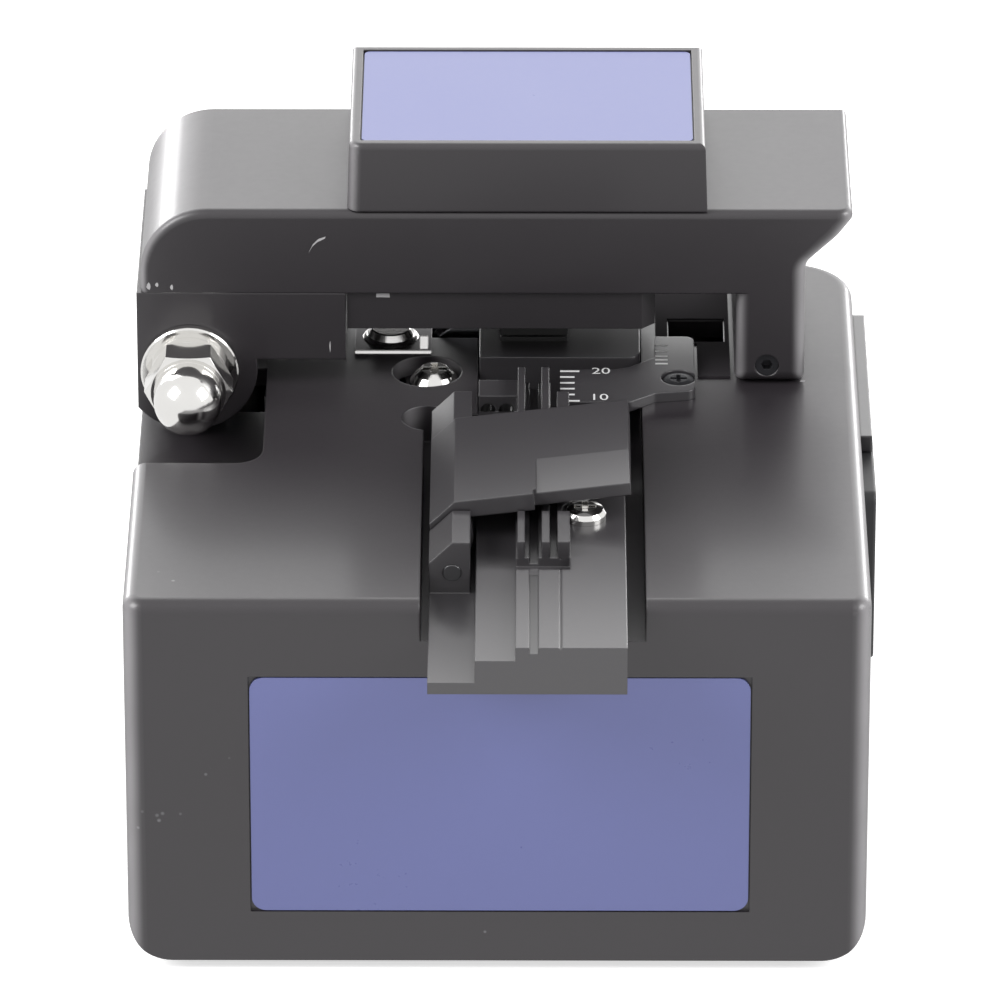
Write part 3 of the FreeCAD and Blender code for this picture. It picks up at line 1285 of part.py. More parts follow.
def wear_plate():
    """The bent steel plate that the lever comes down on, with its pressed dome."""
    plate = Piece("wear_blank")
    top = top_level + s.wear_thick
    plate.pad("XY", top_level, top, rect(s.wear_left, s.wear_right, s.wear_front, s.wear_rear))
    plate.pad("XY", top - 0.1, top_level + s.wear_tab_height,
              rect(s.wear_right - s.wear_tab_width, s.wear_right, s.wear_front + 1.2, s.wear_rear))
    middle = (s.wear_left + s.wear_right) / 2
    plate.pocket("XY", top_level, top_level + s.wear_tab_height,
                 rect(blade_x - s.blade_radius, s.wear_right + 1, blade_y - s.blade_gap - 0.8,
                      blade_y + s.blade_gap + 0.8))
    dome = doc.addObject("Part::Cone", "wear_dome")
    bind(dome, "Radius1", s.dome_radius)
    bind(dome, "Radius2", s.dome_radius - s.dome_height)
    bind(dome, "Height", s.dome_height)
    put(dome, middle, s.wear_front + s.dome_radius + 0.5, top)
    return fuse("wear_plate", plate, dome)


def height_screw():
    """The screw in the counterbore that sets the blade's height."""
    return pan_screw("height_screw", s.height_screw_x, s.height_screw_y,
                     top_level - s.counterbore_depth, s.height_screw_radius,
                     s.counterbore_depth + 0.3, s.small_shank, 3.2 + 0 * s.wall)


# ---------------------------------------------------------------- scrap drawer
def side_bezel():
    """The three-sided frame round the drawer's face, open to the front."""
    rail = s.bezel_rail
    bezel = Piece("side_bezel")
    bezel.pad("YZ", half_width, half_width + s.bezel_proud,
              rect(s.bezel_front, s.bezel_rear, s.drawer_low - rail - s.drawer_gap,
                   s.drawer_high + rail + s.drawer_gap))
    bezel.pocket("YZ", half_width, half_width + s.bezel_proud,
                 rect(s.bezel_front - 1, s.drawer_rear + s.drawer_gap,
                      s.drawer_low - s.drawer_gap, s.drawer_high + s.drawer_gap))
    bezel.pocket("YZ", half_width, half_width + s.bezel_proud,
                 *[disc(y, z, s.small_shank) for y, z in bezel_screw_places()])
    return bezel.fillet(0.8 + 0 * s.wall, {"along": "X", "y": s.bezel_rear})


def bezel_screw_places():
    """Where the bezel's two screws stand in its rear rail."""
    y = (s.drawer_rear + s.bezel_rear) / 2
    return [(y, s.drawer_low + 1.5), (y, s.drawer_high - 1.5)]


def bezel_screws():
    """The bezel's two small countersunk screws."""
    screws = []
    for index, (y, z) in enumerate(bezel_screw_places(), start=1):
        screw = Piece(f"bezel_screw{index}")
        head = s.bezel_proud - 0.1
        screw.turn("XZ", "H_Axis", [(-s.wall, 0), (head, 0), (head, s.small_shank - 0.02),
                                    (-s.wall, s.small_shank - 0.02)])
        screw.pocket("YZ", head - 0.4, head, rect(-0.6, 0.6, -0.14, 0.14))
        screws.append(screw.place(half_width, y, z))
    return group("bezel_screws", *screws)


def drawer_front():
    """The drawer's face, with a scooped front edge for a fingernail."""
    face = Piece("drawer_front")
    inner = half_width + 0.05
    face.pad("YZ", inner, inner + s.drawer_face,
             rect(s.drawer_front, s.drawer_rear, s.drawer_low, s.drawer_high))
    face.fillet(1.0 + 0 * s.wall, {"along": "X", "y": s.drawer_front})
    return face.fillet(0.25 + 0 * s.wall, {"along": "Z", "x": inner + s.drawer_face,
                                           "y": s.drawer_front})


def scrap_drawer():
    """The tray that catches fibre offcuts, open at the top."""
    tray = Piece("scrap_drawer")
    right = half_width + 0.05
    tray.pad("XY", s.tray_low, s.tray_high, rect(s.tray_left, right, s.tray_front, s.tray_rear))
    return tray.pocket("XY", s.tray_low + s.tray_wall, s.tray_high,
                       rect(s.tray_left + s.tray_wall, right - s.tray_wall - 0.6,
                            s.tray_front + s.tray_wall, s.tray_rear - s.tray_wall))


# ---------------------------------------------------------------- write the nodes
def named(label, item):
    """Give a sub-part the label that names its file."""
    target = shape_of(item)
    target.Label = label
    return target


def build():
    """Build every sub-part, in the order in which the cleaver goes together."""
    return [
        named("housing", housing()),
        named("bottom_plate", bottom_plate()),
        named("bottom_screws", bottom_screws()),
        named("rubber_feet", rubber_feet()),
        named("front_plate", front_plate()),
        named("latch_keeper", latch_keeper()),
        named("lever_shell", lever_shell()),
        named("pivot_block", pivot_block()),
        named("thumb_pad", thumb_pad_with_recess()),
        named("pad_plate", pad_plate()),
        named("latch_magnet", latch_magnet()),
        named("magnet_screw", magnet_screw()),
        named("crank_arm", crank_arm()),
        named("drive_pin", drive_pin()),
        named("clamp_guide", clamp_guide()),
        named("clamp_holder", clamp_holder()),
        named("clamp_pins", clamp_pins()),
        named("clamp_springs", clamp_springs()),
        named("upper_pads", group("upper_pads", *grip_pads("upper_pad", pads_low, holder_low))),
        named("lower_pads", group("lower_pads", *grip_pads(
            "lower_pad", s.anvil_top - s.grip_pad_sink, grip_top))),
        named("breaking_anvil", breaking_anvil()),
        named("pivot_shaft", pivot_shaft()),
        named("flat_washer", flat_washer()),
        named("spring_washer", spring_washer()),
        named("acorn_nut", acorn_nut()),
        named("fixture_base", fixture_base()),
        named("lid_hinge_pin", lid_hinge_pin()),
        named("fixture_screw", fixture_screw()),
        named("fixture_lid", fixture_lid()),
        named("lid_pad", lid_pad()),
        named("lid_magnet", lid_magnet()),
        named("anvil_block", anvil_block()),
        named("anvil_screws", anvil_screws()),
        named("blade_wheel", blade_wheel()),
        named("blade_screw", blade_screw()),
        named("blade_carriage", blade_carriage()),
        named("slide_rail", slide_rail()),
        named("rail_screws", rail_screws()),
        named("scale_plate", scale_plate()),
        named("scale_screw", scale_screw()),
        named("wear_plate", wear_plate()),
        named("height_screw", height_screw()),
        named("side_bezel", side_bezel()),
        named("bezel_screws", bezel_screws()),
        named("drawer_front", drawer_front()),
        named("scrap_drawer", scrap_drawer()),
    ]


def check(parts):
    """Stop before writing anything if an object or a sub-part's shape is bad."""
    doc.recompute()
    for item in doc.Objects:
        if "Invalid" in item.State or "Error" in item.State:
            raise RuntimeError(f"{item.Name} is {item.State}")
    for part in parts:
        if part.Shape.isNull() or not part.Shape.isValid() or not part.Shape.Solids:
            raise RuntimeError(f"{part.Label} has no valid shape")


def write(parts):
    """Write one STEP file for each node."""
    os.makedirs("parts", exist_ok=True)
    for part in parts:
        part.Shape.exportStep(f"parts/{part.Label}.step")
        print(f"{part.Label}: {len(part.Shape.Solids)} solid(s), {part.Shape.Volume:.1f} mm3")


nodes = build()
check(nodes)
write(nodes)
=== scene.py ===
"""Looks of a bench fibre cleaver: its finishes, the small pieces that only the looks have, and
its studio.

Each sub-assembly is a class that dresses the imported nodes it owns, or that builds a piece which
stands on a node or for one.  All lengths are in metres.
"""

import logging
import math
from dataclasses import dataclass
from enum import Enum

import bmesh
import bpy
from mathutils import Matrix, Vector

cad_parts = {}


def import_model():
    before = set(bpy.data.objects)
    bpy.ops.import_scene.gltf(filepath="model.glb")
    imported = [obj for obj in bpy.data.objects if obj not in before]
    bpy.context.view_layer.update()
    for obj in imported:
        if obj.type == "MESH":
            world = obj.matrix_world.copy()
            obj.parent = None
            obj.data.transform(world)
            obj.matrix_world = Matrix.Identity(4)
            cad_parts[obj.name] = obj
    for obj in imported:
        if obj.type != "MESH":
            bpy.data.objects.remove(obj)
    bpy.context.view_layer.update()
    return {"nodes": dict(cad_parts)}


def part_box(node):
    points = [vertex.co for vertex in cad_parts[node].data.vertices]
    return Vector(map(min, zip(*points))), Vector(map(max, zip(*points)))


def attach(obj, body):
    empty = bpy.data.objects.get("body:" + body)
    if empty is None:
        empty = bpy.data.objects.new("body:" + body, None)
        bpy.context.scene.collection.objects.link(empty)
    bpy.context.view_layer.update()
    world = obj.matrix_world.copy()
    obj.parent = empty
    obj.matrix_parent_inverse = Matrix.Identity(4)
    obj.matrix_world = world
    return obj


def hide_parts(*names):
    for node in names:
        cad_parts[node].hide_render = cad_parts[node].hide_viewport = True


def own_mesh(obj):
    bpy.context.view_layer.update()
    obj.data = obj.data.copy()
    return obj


log = logging.getLogger("fibre_cleaver")

Colour = tuple[float, float, float]
Place = tuple[float, float, float]
Ring = list[bmesh.types.BMVert]
FULL_TURN = 2 * math.pi


class Surface(Enum):
    """What kind of surface a finish has; a ground one shows lines, and any other a grain."""

    PAINTED = "painted"
    ANODISED = "anodised"
    PLATED = "plated"
    GROUND = "ground"
    RUBBER = "rubber"
    MOULDED = "moulded"
    FOIL = "foil"


# ------------------------------------------------------------------ node helpers
def link(tree: bpy.types.NodeTree, source: bpy.types.NodeSocket,
         target: bpy.types.NodeSocket) -> None:
    """Join two sockets."""
    tree.links.new(source, target)


def feed(tree: bpy.types.NodeTree, target: bpy.types.NodeSocket,
         value: float | Colour | bpy.types.NodeSocket) -> None:
    """Give an input its value.

    Args:
        tree: the node tree.
        target: the input's socket.
        value: a socket to join, a plain number or a plain colour.
    """
    if isinstance(value, bpy.types.NodeSocket):
        link(tree, value, target)
    elif isinstance(value, tuple):
        target.default_value = (*value, 1.0)
    else:
        target.default_value = value


def add_node(tree: bpy.types.NodeTree, kind: str, **values: object) -> bpy.types.Node:
    """Add a shader node and set its properties.

    Args:
        tree: the node tree that gets the node.
        kind: the node's type name.
        values: properties of the node, by name.

    Returns:
        The new node.
    """
    node = tree.nodes.new(kind)
    for name, value in values.items():
        setattr(node, name, value)
    return node


def calculate(tree: bpy.types.NodeTree, operation: str,
              *values: float | bpy.types.NodeSocket, clamp: bool = False) -> bpy.types.NodeSocket:
    """Add a sum.

    Args:
        tree: the node tree.
        operation: the name of the maths node's operation.
        values: each input in order, as a socket or a plain number.
        clamp: whether the result stays between 0 and 1.

    Returns:
        The result's socket.
    """
    node = add_node(tree, "ShaderNodeMath", operation=operation, use_clamp=clamp)
    for target, value in zip(node.inputs, values):
        feed(tree, target, value)
    return node.outputs[0]


def noise(tree: bpy.types.NodeTree, vector: bpy.types.NodeSocket,
          scale: float | bpy.types.NodeSocket, detail: float) -> bpy.types.NodeSocket:
    """Add a noise texture.

    Args:
        tree: the node tree.
        vector: where the noise is read.
        scale: its scale, as a socket or a plain number.
        detail: how many finer layers it has.

    Returns:
        The socket of its value, which keeps near 0.5.
    """
    node = add_node(tree, "ShaderNodeTexNoise")
    node.inputs["Detail"].default_value = detail
    link(tree, vector, node.inputs["Vector"])
    feed(tree, node.inputs["Scale"], scale)
    return node.outputs["Fac"]


def ramp(tree: bpy.types.NodeTree, source: bpy.types.NodeSocket, low: float, high: float,
         start: float = 0.0, end: float = 1.0) -> bpy.types.NodeSocket:
    """Stretch a value so that low becomes start and high becomes end.

    Args:
        tree: the node tree.
        source: the value's socket.
        low: the value that becomes start.
        high: the value that becomes end.
        start: what low becomes.
        end: what high becomes.

    Returns:
        The stretched value's socket.
    """
    node = add_node(tree, "ShaderNodeMapRange")
    node.inputs["From Min"].default_value = low
    node.inputs["From Max"].default_value = high
    node.inputs["To Min"].default_value = start
    node.inputs["To Max"].default_value = end
    link(tree, source, node.inputs["Value"])
    return node.outputs["Result"]


def mix_colours(tree: bpy.types.NodeTree, first: Colour | bpy.types.NodeSocket,
                second: Colour, share: bpy.types.NodeSocket) -> bpy.types.NodeSocket:
    """Mix two colours.

    Args:
        tree: the node tree.
        first: the colour where the share is 0, as a socket or a plain colour.
        second: the colour where the share is 1.
        share: the share of the second colour.

    Returns:
        The mixed colour's socket.
    """
    node = add_node(tree, "ShaderNodeMix", data_type="RGBA")
    feed(tree, node.inputs["A"], first)
    feed(tree, node.inputs["B"], second)
    link(tree, share, node.inputs["Factor"])
    return node.outputs["Result"]


def add_group(tree: bpy.types.NodeTree, group: bpy.types.NodeTree,
              **values: float) -> bpy.types.Node:
    """Place a shared node group in a material.

    Args:
        tree: the material's node tree.
        group: the group's node tree.
        values: the group's inputs, by name.

    Returns:
        The placed group's node.
    """
    node = add_node(tree, "ShaderNodeGroup", node_tree=group)
    for name, value in values.items():
        node.inputs[name].default_value = value
    return node


# ------------------------------------------------------------------ mesh helpers
def make_piece(name: str, mesh: bmesh.types.BMesh,
               *materials: bpy.types.Material) -> bpy.types.Object:
    """Turn mesh work into an object of the scene.

    Args:
        name: the piece's name.
        mesh: the mesh work, which is freed.
        materials: the piece's materials, in the order of its slots.

    Returns:
        The new object.
    """
    data = bpy.data.meshes.new(name)
    mesh.to_mesh(data)
    mesh.free()
    for material in materials:
        data.materials.append(material)
    piece = bpy.data.objects.new(name, data)
    bpy.context.scene.collection.objects.link(piece)
    return piece


def bridge(mesh: bmesh.types.BMesh, rings: list[Ring]) -> None:
    """Join each ring of points to the next one with faces.

    Args:
        mesh: the mesh that gets the faces.
        rings: closed rings that have equally many points.
    """
    for lower, upper in zip(rings, rings[1:]):
        for step in range(len(lower)):
            after = (step + 1) % len(lower)
            mesh.faces.new((lower[step], lower[after], upper[after], upper[step]))


# ------------------------------------------------------------------ shared effects
@dataclass(frozen=True)
class Effect:
    """An effect that several finishes share, as a shader node group that is built once."""

    name: str = ""

    def build(self) -> bpy.types.NodeTree:
        """Return the group's tree, and make it the first time."""
        return bpy.data.node_groups.get(self.name) or self._make()

    def _make(self) -> bpy.types.NodeTree:
        """Make the group; each effect has its own way."""
        raise NotImplementedError

    def _start(self, inputs: dict[str, float], *outputs: str) -> bpy.types.NodeTree:
        """Start the group with its named float sockets.

        Args:
            inputs: each input and its usual value.
            outputs: the outputs' names.

        Returns:
            The group's tree, whose nodes In and Out hold the sockets.
        """
        tree = bpy.data.node_groups.new(self.name, "ShaderNodeTree")
        for key, value in inputs.items():
            socket = tree.interface.new_socket(key, in_out="INPUT",
                                               socket_type="NodeSocketFloat")
            socket.default_value = value
        for key in outputs:
            tree.interface.new_socket(key, in_out="OUTPUT", socket_type="NodeSocketFloat")
        add_node(tree, "NodeGroupInput", name="In")
        add_node(tree, "NodeGroupOutput", name="Out")
        return tree


@dataclass(frozen=True)
class GrainEffect(Effect):
    """The fine grain of a coating: a value and a height from two sizes of noise."""

    name: str = "coating_grain"
    fine_detail: float = 3.0
    broad_scale: float = 60.0
    broad_detail: float = 2.0
    middle: float = 1.0

    def _make(self) -> bpy.types.NodeTree:
        """Make the group; its value lies about 0."""
        tree = self._start({"Scale": 900.0, "Spread": 0.1}, "Value", "Height")
        start, end = tree.nodes["In"], tree.nodes["Out"]
        place = add_node(tree, "ShaderNodeTexCoord").outputs["Object"]
        fine = noise(tree, place, start.outputs["Scale"], self.fine_detail)
        broad = noise(tree, place, self.broad_scale, self.broad_detail)
        both = calculate(tree, "ADD", fine, broad)
        centred = calculate(tree, "SUBTRACT", both, self.middle)
        spread = calculate(tree, "MULTIPLY", centred, start.outputs["Spread"])
        link(tree, spread, end.inputs["Value"])
        link(tree, fine, end.inputs["Height"])
        return tree


@dataclass(frozen=True)
class DustEffect(Effect):
    """Sparse pale specks of dust and tiny chips, as a mask."""

    name: str = "dust_specks"
    speck_rim: float = 0.16
    speck_core: float = 0.05
    patch_scale: float = 95.0
    patch_detail: float = 4.0
    patch_rim: float = 0.66
    patch_core: float = 0.72

    def _make(self) -> bpy.types.NodeTree:
        """Make the group: small round specks, and only within rare patches."""
        tree = self._start({"Scale": 700.0, "Amount": 0.5}, "Mask")
        start, end = tree.nodes["In"], tree.nodes["Out"]
        place = add_node(tree, "ShaderNodeTexCoord").outputs["Object"]
        specks = add_node(tree, "ShaderNodeTexVoronoi", feature="F1")
        link(tree, place, specks.inputs["Vector"])
        link(tree, start.outputs["Scale"], specks.inputs["Scale"])
        near = ramp(tree, specks.outputs["Distance"], self.speck_rim, self.speck_core)
        patches = noise(tree, place, self.patch_scale, self.patch_detail)
        rare = ramp(tree, patches, self.patch_rim, self.patch_core)
        product = calculate(tree, "MULTIPLY", near, rare)
        scaled = calculate(tree, "MULTIPLY", product, start.outputs["Amount"])
        link(tree, scaled, end.inputs["Mask"])
        return tree


@dataclass(frozen=True)
class LineEffect(Effect):
    """The fine straight lines of a ground or rolled metal face."""

    name: str = "ground_lines"
    detail: float = 2.0
    middle: float = 0.5

    def _make(self) -> bpy.types.NodeTree:
        """Make the group: noise that is drawn out from left to right."""
        tree = self._start({"Across": 4000.0, "Along": 90.0}, "Value", "Height")
        start, end = tree.nodes["In"], tree.nodes["Out"]
        place = add_node(tree, "ShaderNodeTexCoord")
        parts = add_node(tree, "ShaderNodeSeparateXYZ")
        link(tree, place.outputs["Object"], parts.inputs[0])
        joined = add_node(tree, "ShaderNodeCombineXYZ")
        for axis, key in (("X", "Along"), ("Y", "Across"), ("Z", "Across")):
            scaled = calculate(tree, "MULTIPLY", parts.outputs[axis], start.outputs[key])
            link(tree, scaled, joined.inputs[axis])
        lines = noise(tree, joined.outputs[0], 1.0, self.detail)
        centred = calculate(tree, "SUBTRACT", lines, self.middle)
        link(tree, centred, end.inputs["Value"])
        link(tree, lines, end.inputs["Height"])
        return tree


@dataclass(frozen=True)
class CornerSheenEffect(Effect):
    """A painted sheen on rounded side corners: a mask from the piece's own normal that lightens
    them where side light would give a highlight.
    """

    name: str = "painted_corner_sheen"
    band_gain: float = 4.0
    sheen_noise_scale: float = 140.0
    sheen_noise_detail: float = 3.0
    sheen_noise_spread: float = 0.5
    sheen_noise_least: float = 0.75

    def _make(self) -> bpy.types.NodeTree:
        """Make the group: the mask is greatest where a face is half turned to the side."""
        tree = self._start({"Amount": 0.5}, "Mask")
        start, end = tree.nodes["In"], tree.nodes["Out"]
        place = add_node(tree, "ShaderNodeTexCoord")
        parts = add_node(tree, "ShaderNodeSeparateXYZ")
        link(tree, place.outputs["Normal"], parts.inputs[0])
        square = calculate(tree, "MULTIPLY", parts.outputs["X"], parts.outputs["X"])
        rest = calculate(tree, "SUBTRACT", 1.0, square, clamp=True)
        both = calculate(tree, "MULTIPLY", square, rest)
        band = calculate(tree, "MULTIPLY", both, self.band_gain, clamp=True)
        # Noise makes the painted sheen uneven.
        sheen_noise = noise(tree, place.outputs["Object"], self.sheen_noise_scale, self.sheen_noise_detail)
        uneven = calculate(tree, "MULTIPLY_ADD", sheen_noise, self.sheen_noise_spread, self.sheen_noise_least)
        product = calculate(tree, "MULTIPLY", band, uneven)
        scaled = calculate(tree, "MULTIPLY", product, start.outputs["Amount"], clamp=True)
        link(tree, scaled, end.inputs["Mask"])
        return tree


# ------------------------------------------------------------------ finishes
@dataclass(frozen=True)
class Finish:
    """One finish: its colour and gloss, and how its texture varies over the surface."""

    name: str
    surface: Surface
    colour: Colour
    roughness: float
    metallic: float = 0.0
    specular: float = 0.5
    coat: float = 0.0
    coat_roughness: float = 0.12
    # The next two set a painted sheen: how strongly rounded side corners are lightened, and the
    # paler colour that stands in for their highlight.
    corners: float = 0.0
    sheen_colour: Colour = (0.27, 0.26, 0.27)
    grain_scale: float = 900.0
    line_stretch: float = 40.0
    colour_spread: float = 0.12
    darkest: float = 0.8
    lightest: float = 1.2
    gloss_spread: float = 0.08
    bump: float = 0.05
    bump_depth: float = 0.00002
    dust: float = 0.0
    dust_colour: Colour = (0.55, 0.55, 0.57)
    edge_radius: float = 0.00012
    edge_samples: int = 6

    def build(self) -> bpy.types.Material:
        """Build the material.

        Returns:
            A node material that is made once and shared.
        """
        if self.name in bpy.data.materials:
            return bpy.data.materials[self.name]
        material = bpy.data.materials.new(self.name)
        material.use_nodes = True
        tree = material.node_tree
        shader = tree.nodes["Principled BSDF"]
        shader.inputs["Specular IOR Level"].default_value = self.specular
        shader.inputs["Metallic"].default_value = self.metallic
        shader.inputs["Coat Weight"].default_value = self.coat
        shader.inputs["Coat Roughness"].default_value = self.coat_roughness
        value, height = self._texture(tree)
        self._paint(tree, shader, value)
        self._gloss(tree, shader, value)
        self._relief(tree, shader, height)
        return material

    def _texture(self, tree: bpy.types.NodeTree) -> tuple[bpy.types.NodeSocket,
                                                          bpy.types.NodeSocket]:
        """Place the texture that suits the surface.

        Args:
            tree: the material's node tree.

        Returns:
            The sockets of the varying value and of the height.
        """
        if self.surface is Surface.GROUND:
            group = add_group(tree, LineEffect().build(), Across=self.grain_scale,
                              Along=self.grain_scale / self.line_stretch)
        else:
            group = add_group(tree, GrainEffect().build(), Scale=self.grain_scale, Spread=1.0)
        return group.outputs["Value"], group.outputs["Height"]

    def _paint(self, tree: bpy.types.NodeTree, shader: bpy.types.Node,
               value: bpy.types.NodeSocket) -> None:
        """Vary the colour a little, and add dust and a painted sheen: a paler colour on rounded
        side corners that stands in for their highlight.

        Args:
            tree: the material's node tree.
            shader: the Principled node.
            value: the varying value's socket.
        """
        shift = calculate(tree, "MULTIPLY_ADD", value, self.colour_spread, 0.5)
        dark = tuple(part * self.darkest for part in self.colour)
        light = tuple(min(1.0, part * self.lightest) for part in self.colour)
        result = mix_colours(tree, dark, light, shift)
        # Painted sheen: rounded side corners are lightened towards a paler colour, which stands
        # in for the highlight of side light.
        if self.corners > 0:
            sheen = add_group(tree, CornerSheenEffect().build(), Amount=self.corners)
            result = mix_colours(tree, result, self.sheen_colour, sheen.outputs["Mask"])
        if self.dust > 0:
            specks = add_group(tree, DustEffect().build(), Amount=self.dust)
            result = mix_colours(tree, result, self.dust_colour, specks.outputs["Mask"])
        link(tree, result, shader.inputs["Base Color"])

    def _gloss(self, tree: bpy.types.NodeTree, shader: bpy.types.Node,
               value: bpy.types.NodeSocket) -> None:
        """Vary the roughness about its middle.

        Args:
            tree: the material's node tree.
            shader: the Principled node.
            value: the varying value's socket.
        """
        gloss = calculate(tree, "MULTIPLY_ADD", value, self.gloss_spread, self.roughness,
                          clamp=True)
        link(tree, gloss, shader.inputs["Roughness"])

    def _relief(self, tree: bpy.types.NodeTree, shader: bpy.types.Node,
                height: bpy.types.NodeSocket) -> None:
        """Soften the sharp edges and give the surface its fine relief.

        Args:
            tree: the material's node tree.
            shader: the Principled node.
            height: the height's socket.
        """
        bump = add_node(tree, "ShaderNodeBump")
        bump.inputs["Strength"].default_value = self.bump
        bump.inputs["Distance"].default_value = self.bump_depth
        link(tree, height, bump.inputs["Height"])
        if self.edge_radius > 0:
            edge = add_node(tree, "ShaderNodeBevel", samples=self.edge_samples)
            edge.inputs["Radius"].default_value = self.edge_radius
            link(tree, edge.outputs["Normal"], bump.inputs["Normal"])
        link(tree, bump.outputs["Normal"], shader.inputs["Normal"])


@dataclass(frozen=True)
class Finishes:
    """Every finish on the cleaver."""

    # The body's paint has a painted sheen on its rounded side corners, which stands in for their
    # highlight.
    body: Finish = Finish("satin_black_paint", Surface.PAINTED, (0.0245, 0.021, 0.0245), 0.38,
                          specular=0.68, coat=0.28, coat_roughness=0.16, corners=0.85,
                          grain_scale=1400.0, bump=0.10, dust=0.5, edge_radius=0.00022)
    bezel: Finish = Finish("gloss_black_bezel", Surface.MOULDED, (0.030, 0.028, 0.031), 0.30,
                           specular=0.75, coat=0.4, grain_scale=1800.0, bump=0.08,
                           edge_radius=0.0003)
    underside: Finish = Finish("matt_black_steel", Surface.PAINTED, (0.032, 0.032, 0.034), 0.6,
                               bump=0.15)
    fixture: Finish = Finish("anodised_black_satin", Surface.ANODISED, (0.049, 0.046, 0.050),
                             0.31, specular=0.95, coat=0.15, coat_roughness=0.2,
                             grain_scale=2600.0, bump=0.05, dust=0.5, edge_radius=0.0002)
    clamp: Finish = Finish("dark_anodised", Surface.ANODISED, (0.030, 0.027, 0.030), 0.38,
                           grain_scale=2600.0, edge_radius=0.0001)
    label: Finish = Finish("blue_foil", Surface.FOIL, (0.128, 0.146, 0.360), 0.30,
                           specular=0.85, grain_scale=1500.0, colour_spread=0.05, bump=0.02,
                           edge_radius=0.00006)
    plated: Finish = Finish("bright_nickel", Surface.PLATED, (0.80, 0.79, 0.77), 0.12,
                            metallic=1.0, grain_scale=500.0, gloss_spread=0.10, bump=0.02,
                            edge_radius=0.00008)
    stainless: Finish = Finish("polished_stainless", Surface.GROUND, (0.74, 0.73, 0.72), 0.20,
                               metallic=1.0, grain_scale=5000.0, gloss_spread=0.12, bump=0.03,
                               edge_radius=0.00006)
    steel: Finish = Finish("ground_steel", Surface.GROUND, (0.58, 0.58, 0.58), 0.32,
                           metallic=1.0, grain_scale=4000.0, gloss_spread=0.15, bump=0.05,
                           edge_radius=0.00006)
    zinc: Finish = Finish("zinc_plate", Surface.PLATED, (0.56, 0.57, 0.59), 0.35,
                          metallic=1.0, gloss_spread=0.2)
    oxide: Finish = Finish("black_oxide", Surface.PLATED, (0.045, 0.045, 0.050), 0.40,
                           metallic=0.6, gloss_spread=0.12, edge_radius=0.00006)
    pin: Finish = Finish("drawn_pin", Surface.GROUND, (0.17, 0.17, 0.175), 0.30,
                         metallic=1.0, grain_scale=3500.0, gloss_spread=0.15)
    machined: Finish = Finish("machined_aluminium", Surface.GROUND, (0.68, 0.68, 0.69), 0.36,
                              metallic=1.0, grain_scale=3000.0, gloss_spread=0.15, bump=0.06)
    carbide: Finish = Finish("ground_carbide", Surface.GROUND, (0.34, 0.34, 0.36), 0.22,
                             metallic=1.0, grain_scale=6000.0)
    ceramic: Finish = Finish("ground_ceramic", Surface.MOULDED, (0.78, 0.78, 0.75), 0.30)
    # A dark steel for the upward face of the wear plate.
    blued: Finish = Finish("dark_plate_steel", Surface.GROUND, (0.075, 0.072, 0.075), 0.30,
                           metallic=0.8, grain_scale=3500.0, edge_radius=0.00005)
    # Painted shade: a matt black sheet that darkens the body's top under the lever.
    shade_sheet: Finish = Finish("matt_black_shade_sheet", Surface.RUBBER, (0.048, 0.043, 0.048), 0.95,
                          specular=0.15, grain_scale=3200.0, bump=0.4, edge_radius=0.0)
    primer: Finish = Finish("bared_primer", Surface.PAINTED, (0.50, 0.49, 0.50), 0.6,
                            colour_spread=0.6, grain_scale=2500.0, edge_radius=0.0)
    pad: Finish = Finish("moulded_pad_rubber", Surface.RUBBER, (0.030, 0.030, 0.030), 0.55,
                         bump=0.12)
    foot: Finish = Finish("moulded_foot_rubber", Surface.RUBBER, (0.022, 0.022, 0.022), 0.8,
                          bump=0.3)
    drawer: Finish = Finish("moulded_black", Surface.MOULDED, (0.030, 0.030, 0.032), 0.45,
                            grain_scale=1800.0, bump=0.12)
    marks: Finish = Finish("white_print", Surface.PAINTED, (0.82, 0.82, 0.82), 0.5,
                           bump=0.02, edge_radius=0.0)


# ------------------------------------------------------------------ sub-assemblies
@dataclass
class SubAssembly:
    """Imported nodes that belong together, with the finishes that they can get."""

    nodes: dict[str, bpy.types.Object]
    finishes: Finishes

    def dress(self, finish: Finish, *names: str) -> None:
        """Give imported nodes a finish.

        Args:
            finish: the finish.
            names: the nodes that get it.
        """
        material = finish.build()
        for name in names:
            mesh = self.nodes[name].data
            mesh.materials.clear()
            mesh.materials.append(material)
            log.info("dressed %s in %s", name, finish.name)


@dataclass
class Housing(SubAssembly):
    """The body with its bottom plate, feet, name plate, side bezel, rail and screws."""

    def build(self) -> None:
        """Dress every part of the housing."""
        finish = self.finishes
        self.dress(finish.body, "housing")
        self.dress(finish.bezel, "side_bezel")
        self.dress(finish.underside, "bottom_plate")
        self.dress(finish.zinc, "bottom_screws", "rail_screws", "anvil_screws")
        self.dress(finish.foot, "rubber_feet")
        self.dress(finish.label, "front_plate")
        self.dress(finish.steel, "latch_keeper", "slide_rail")
        self.dress(finish.plated, "height_screw")
        self.dress(finish.oxide, "bezel_screws")


@dataclass
class PivotHardware(SubAssembly):
    """The shaft, washers and cap nut that hold the lever."""

    def build(self) -> None:
        """Dress the pivot's hardware."""
        self.dress(self.finishes.plated, "flat_washer", "spring_washer", "acorn_nut")
        self.dress(self.finishes.steel, "pivot_shaft")


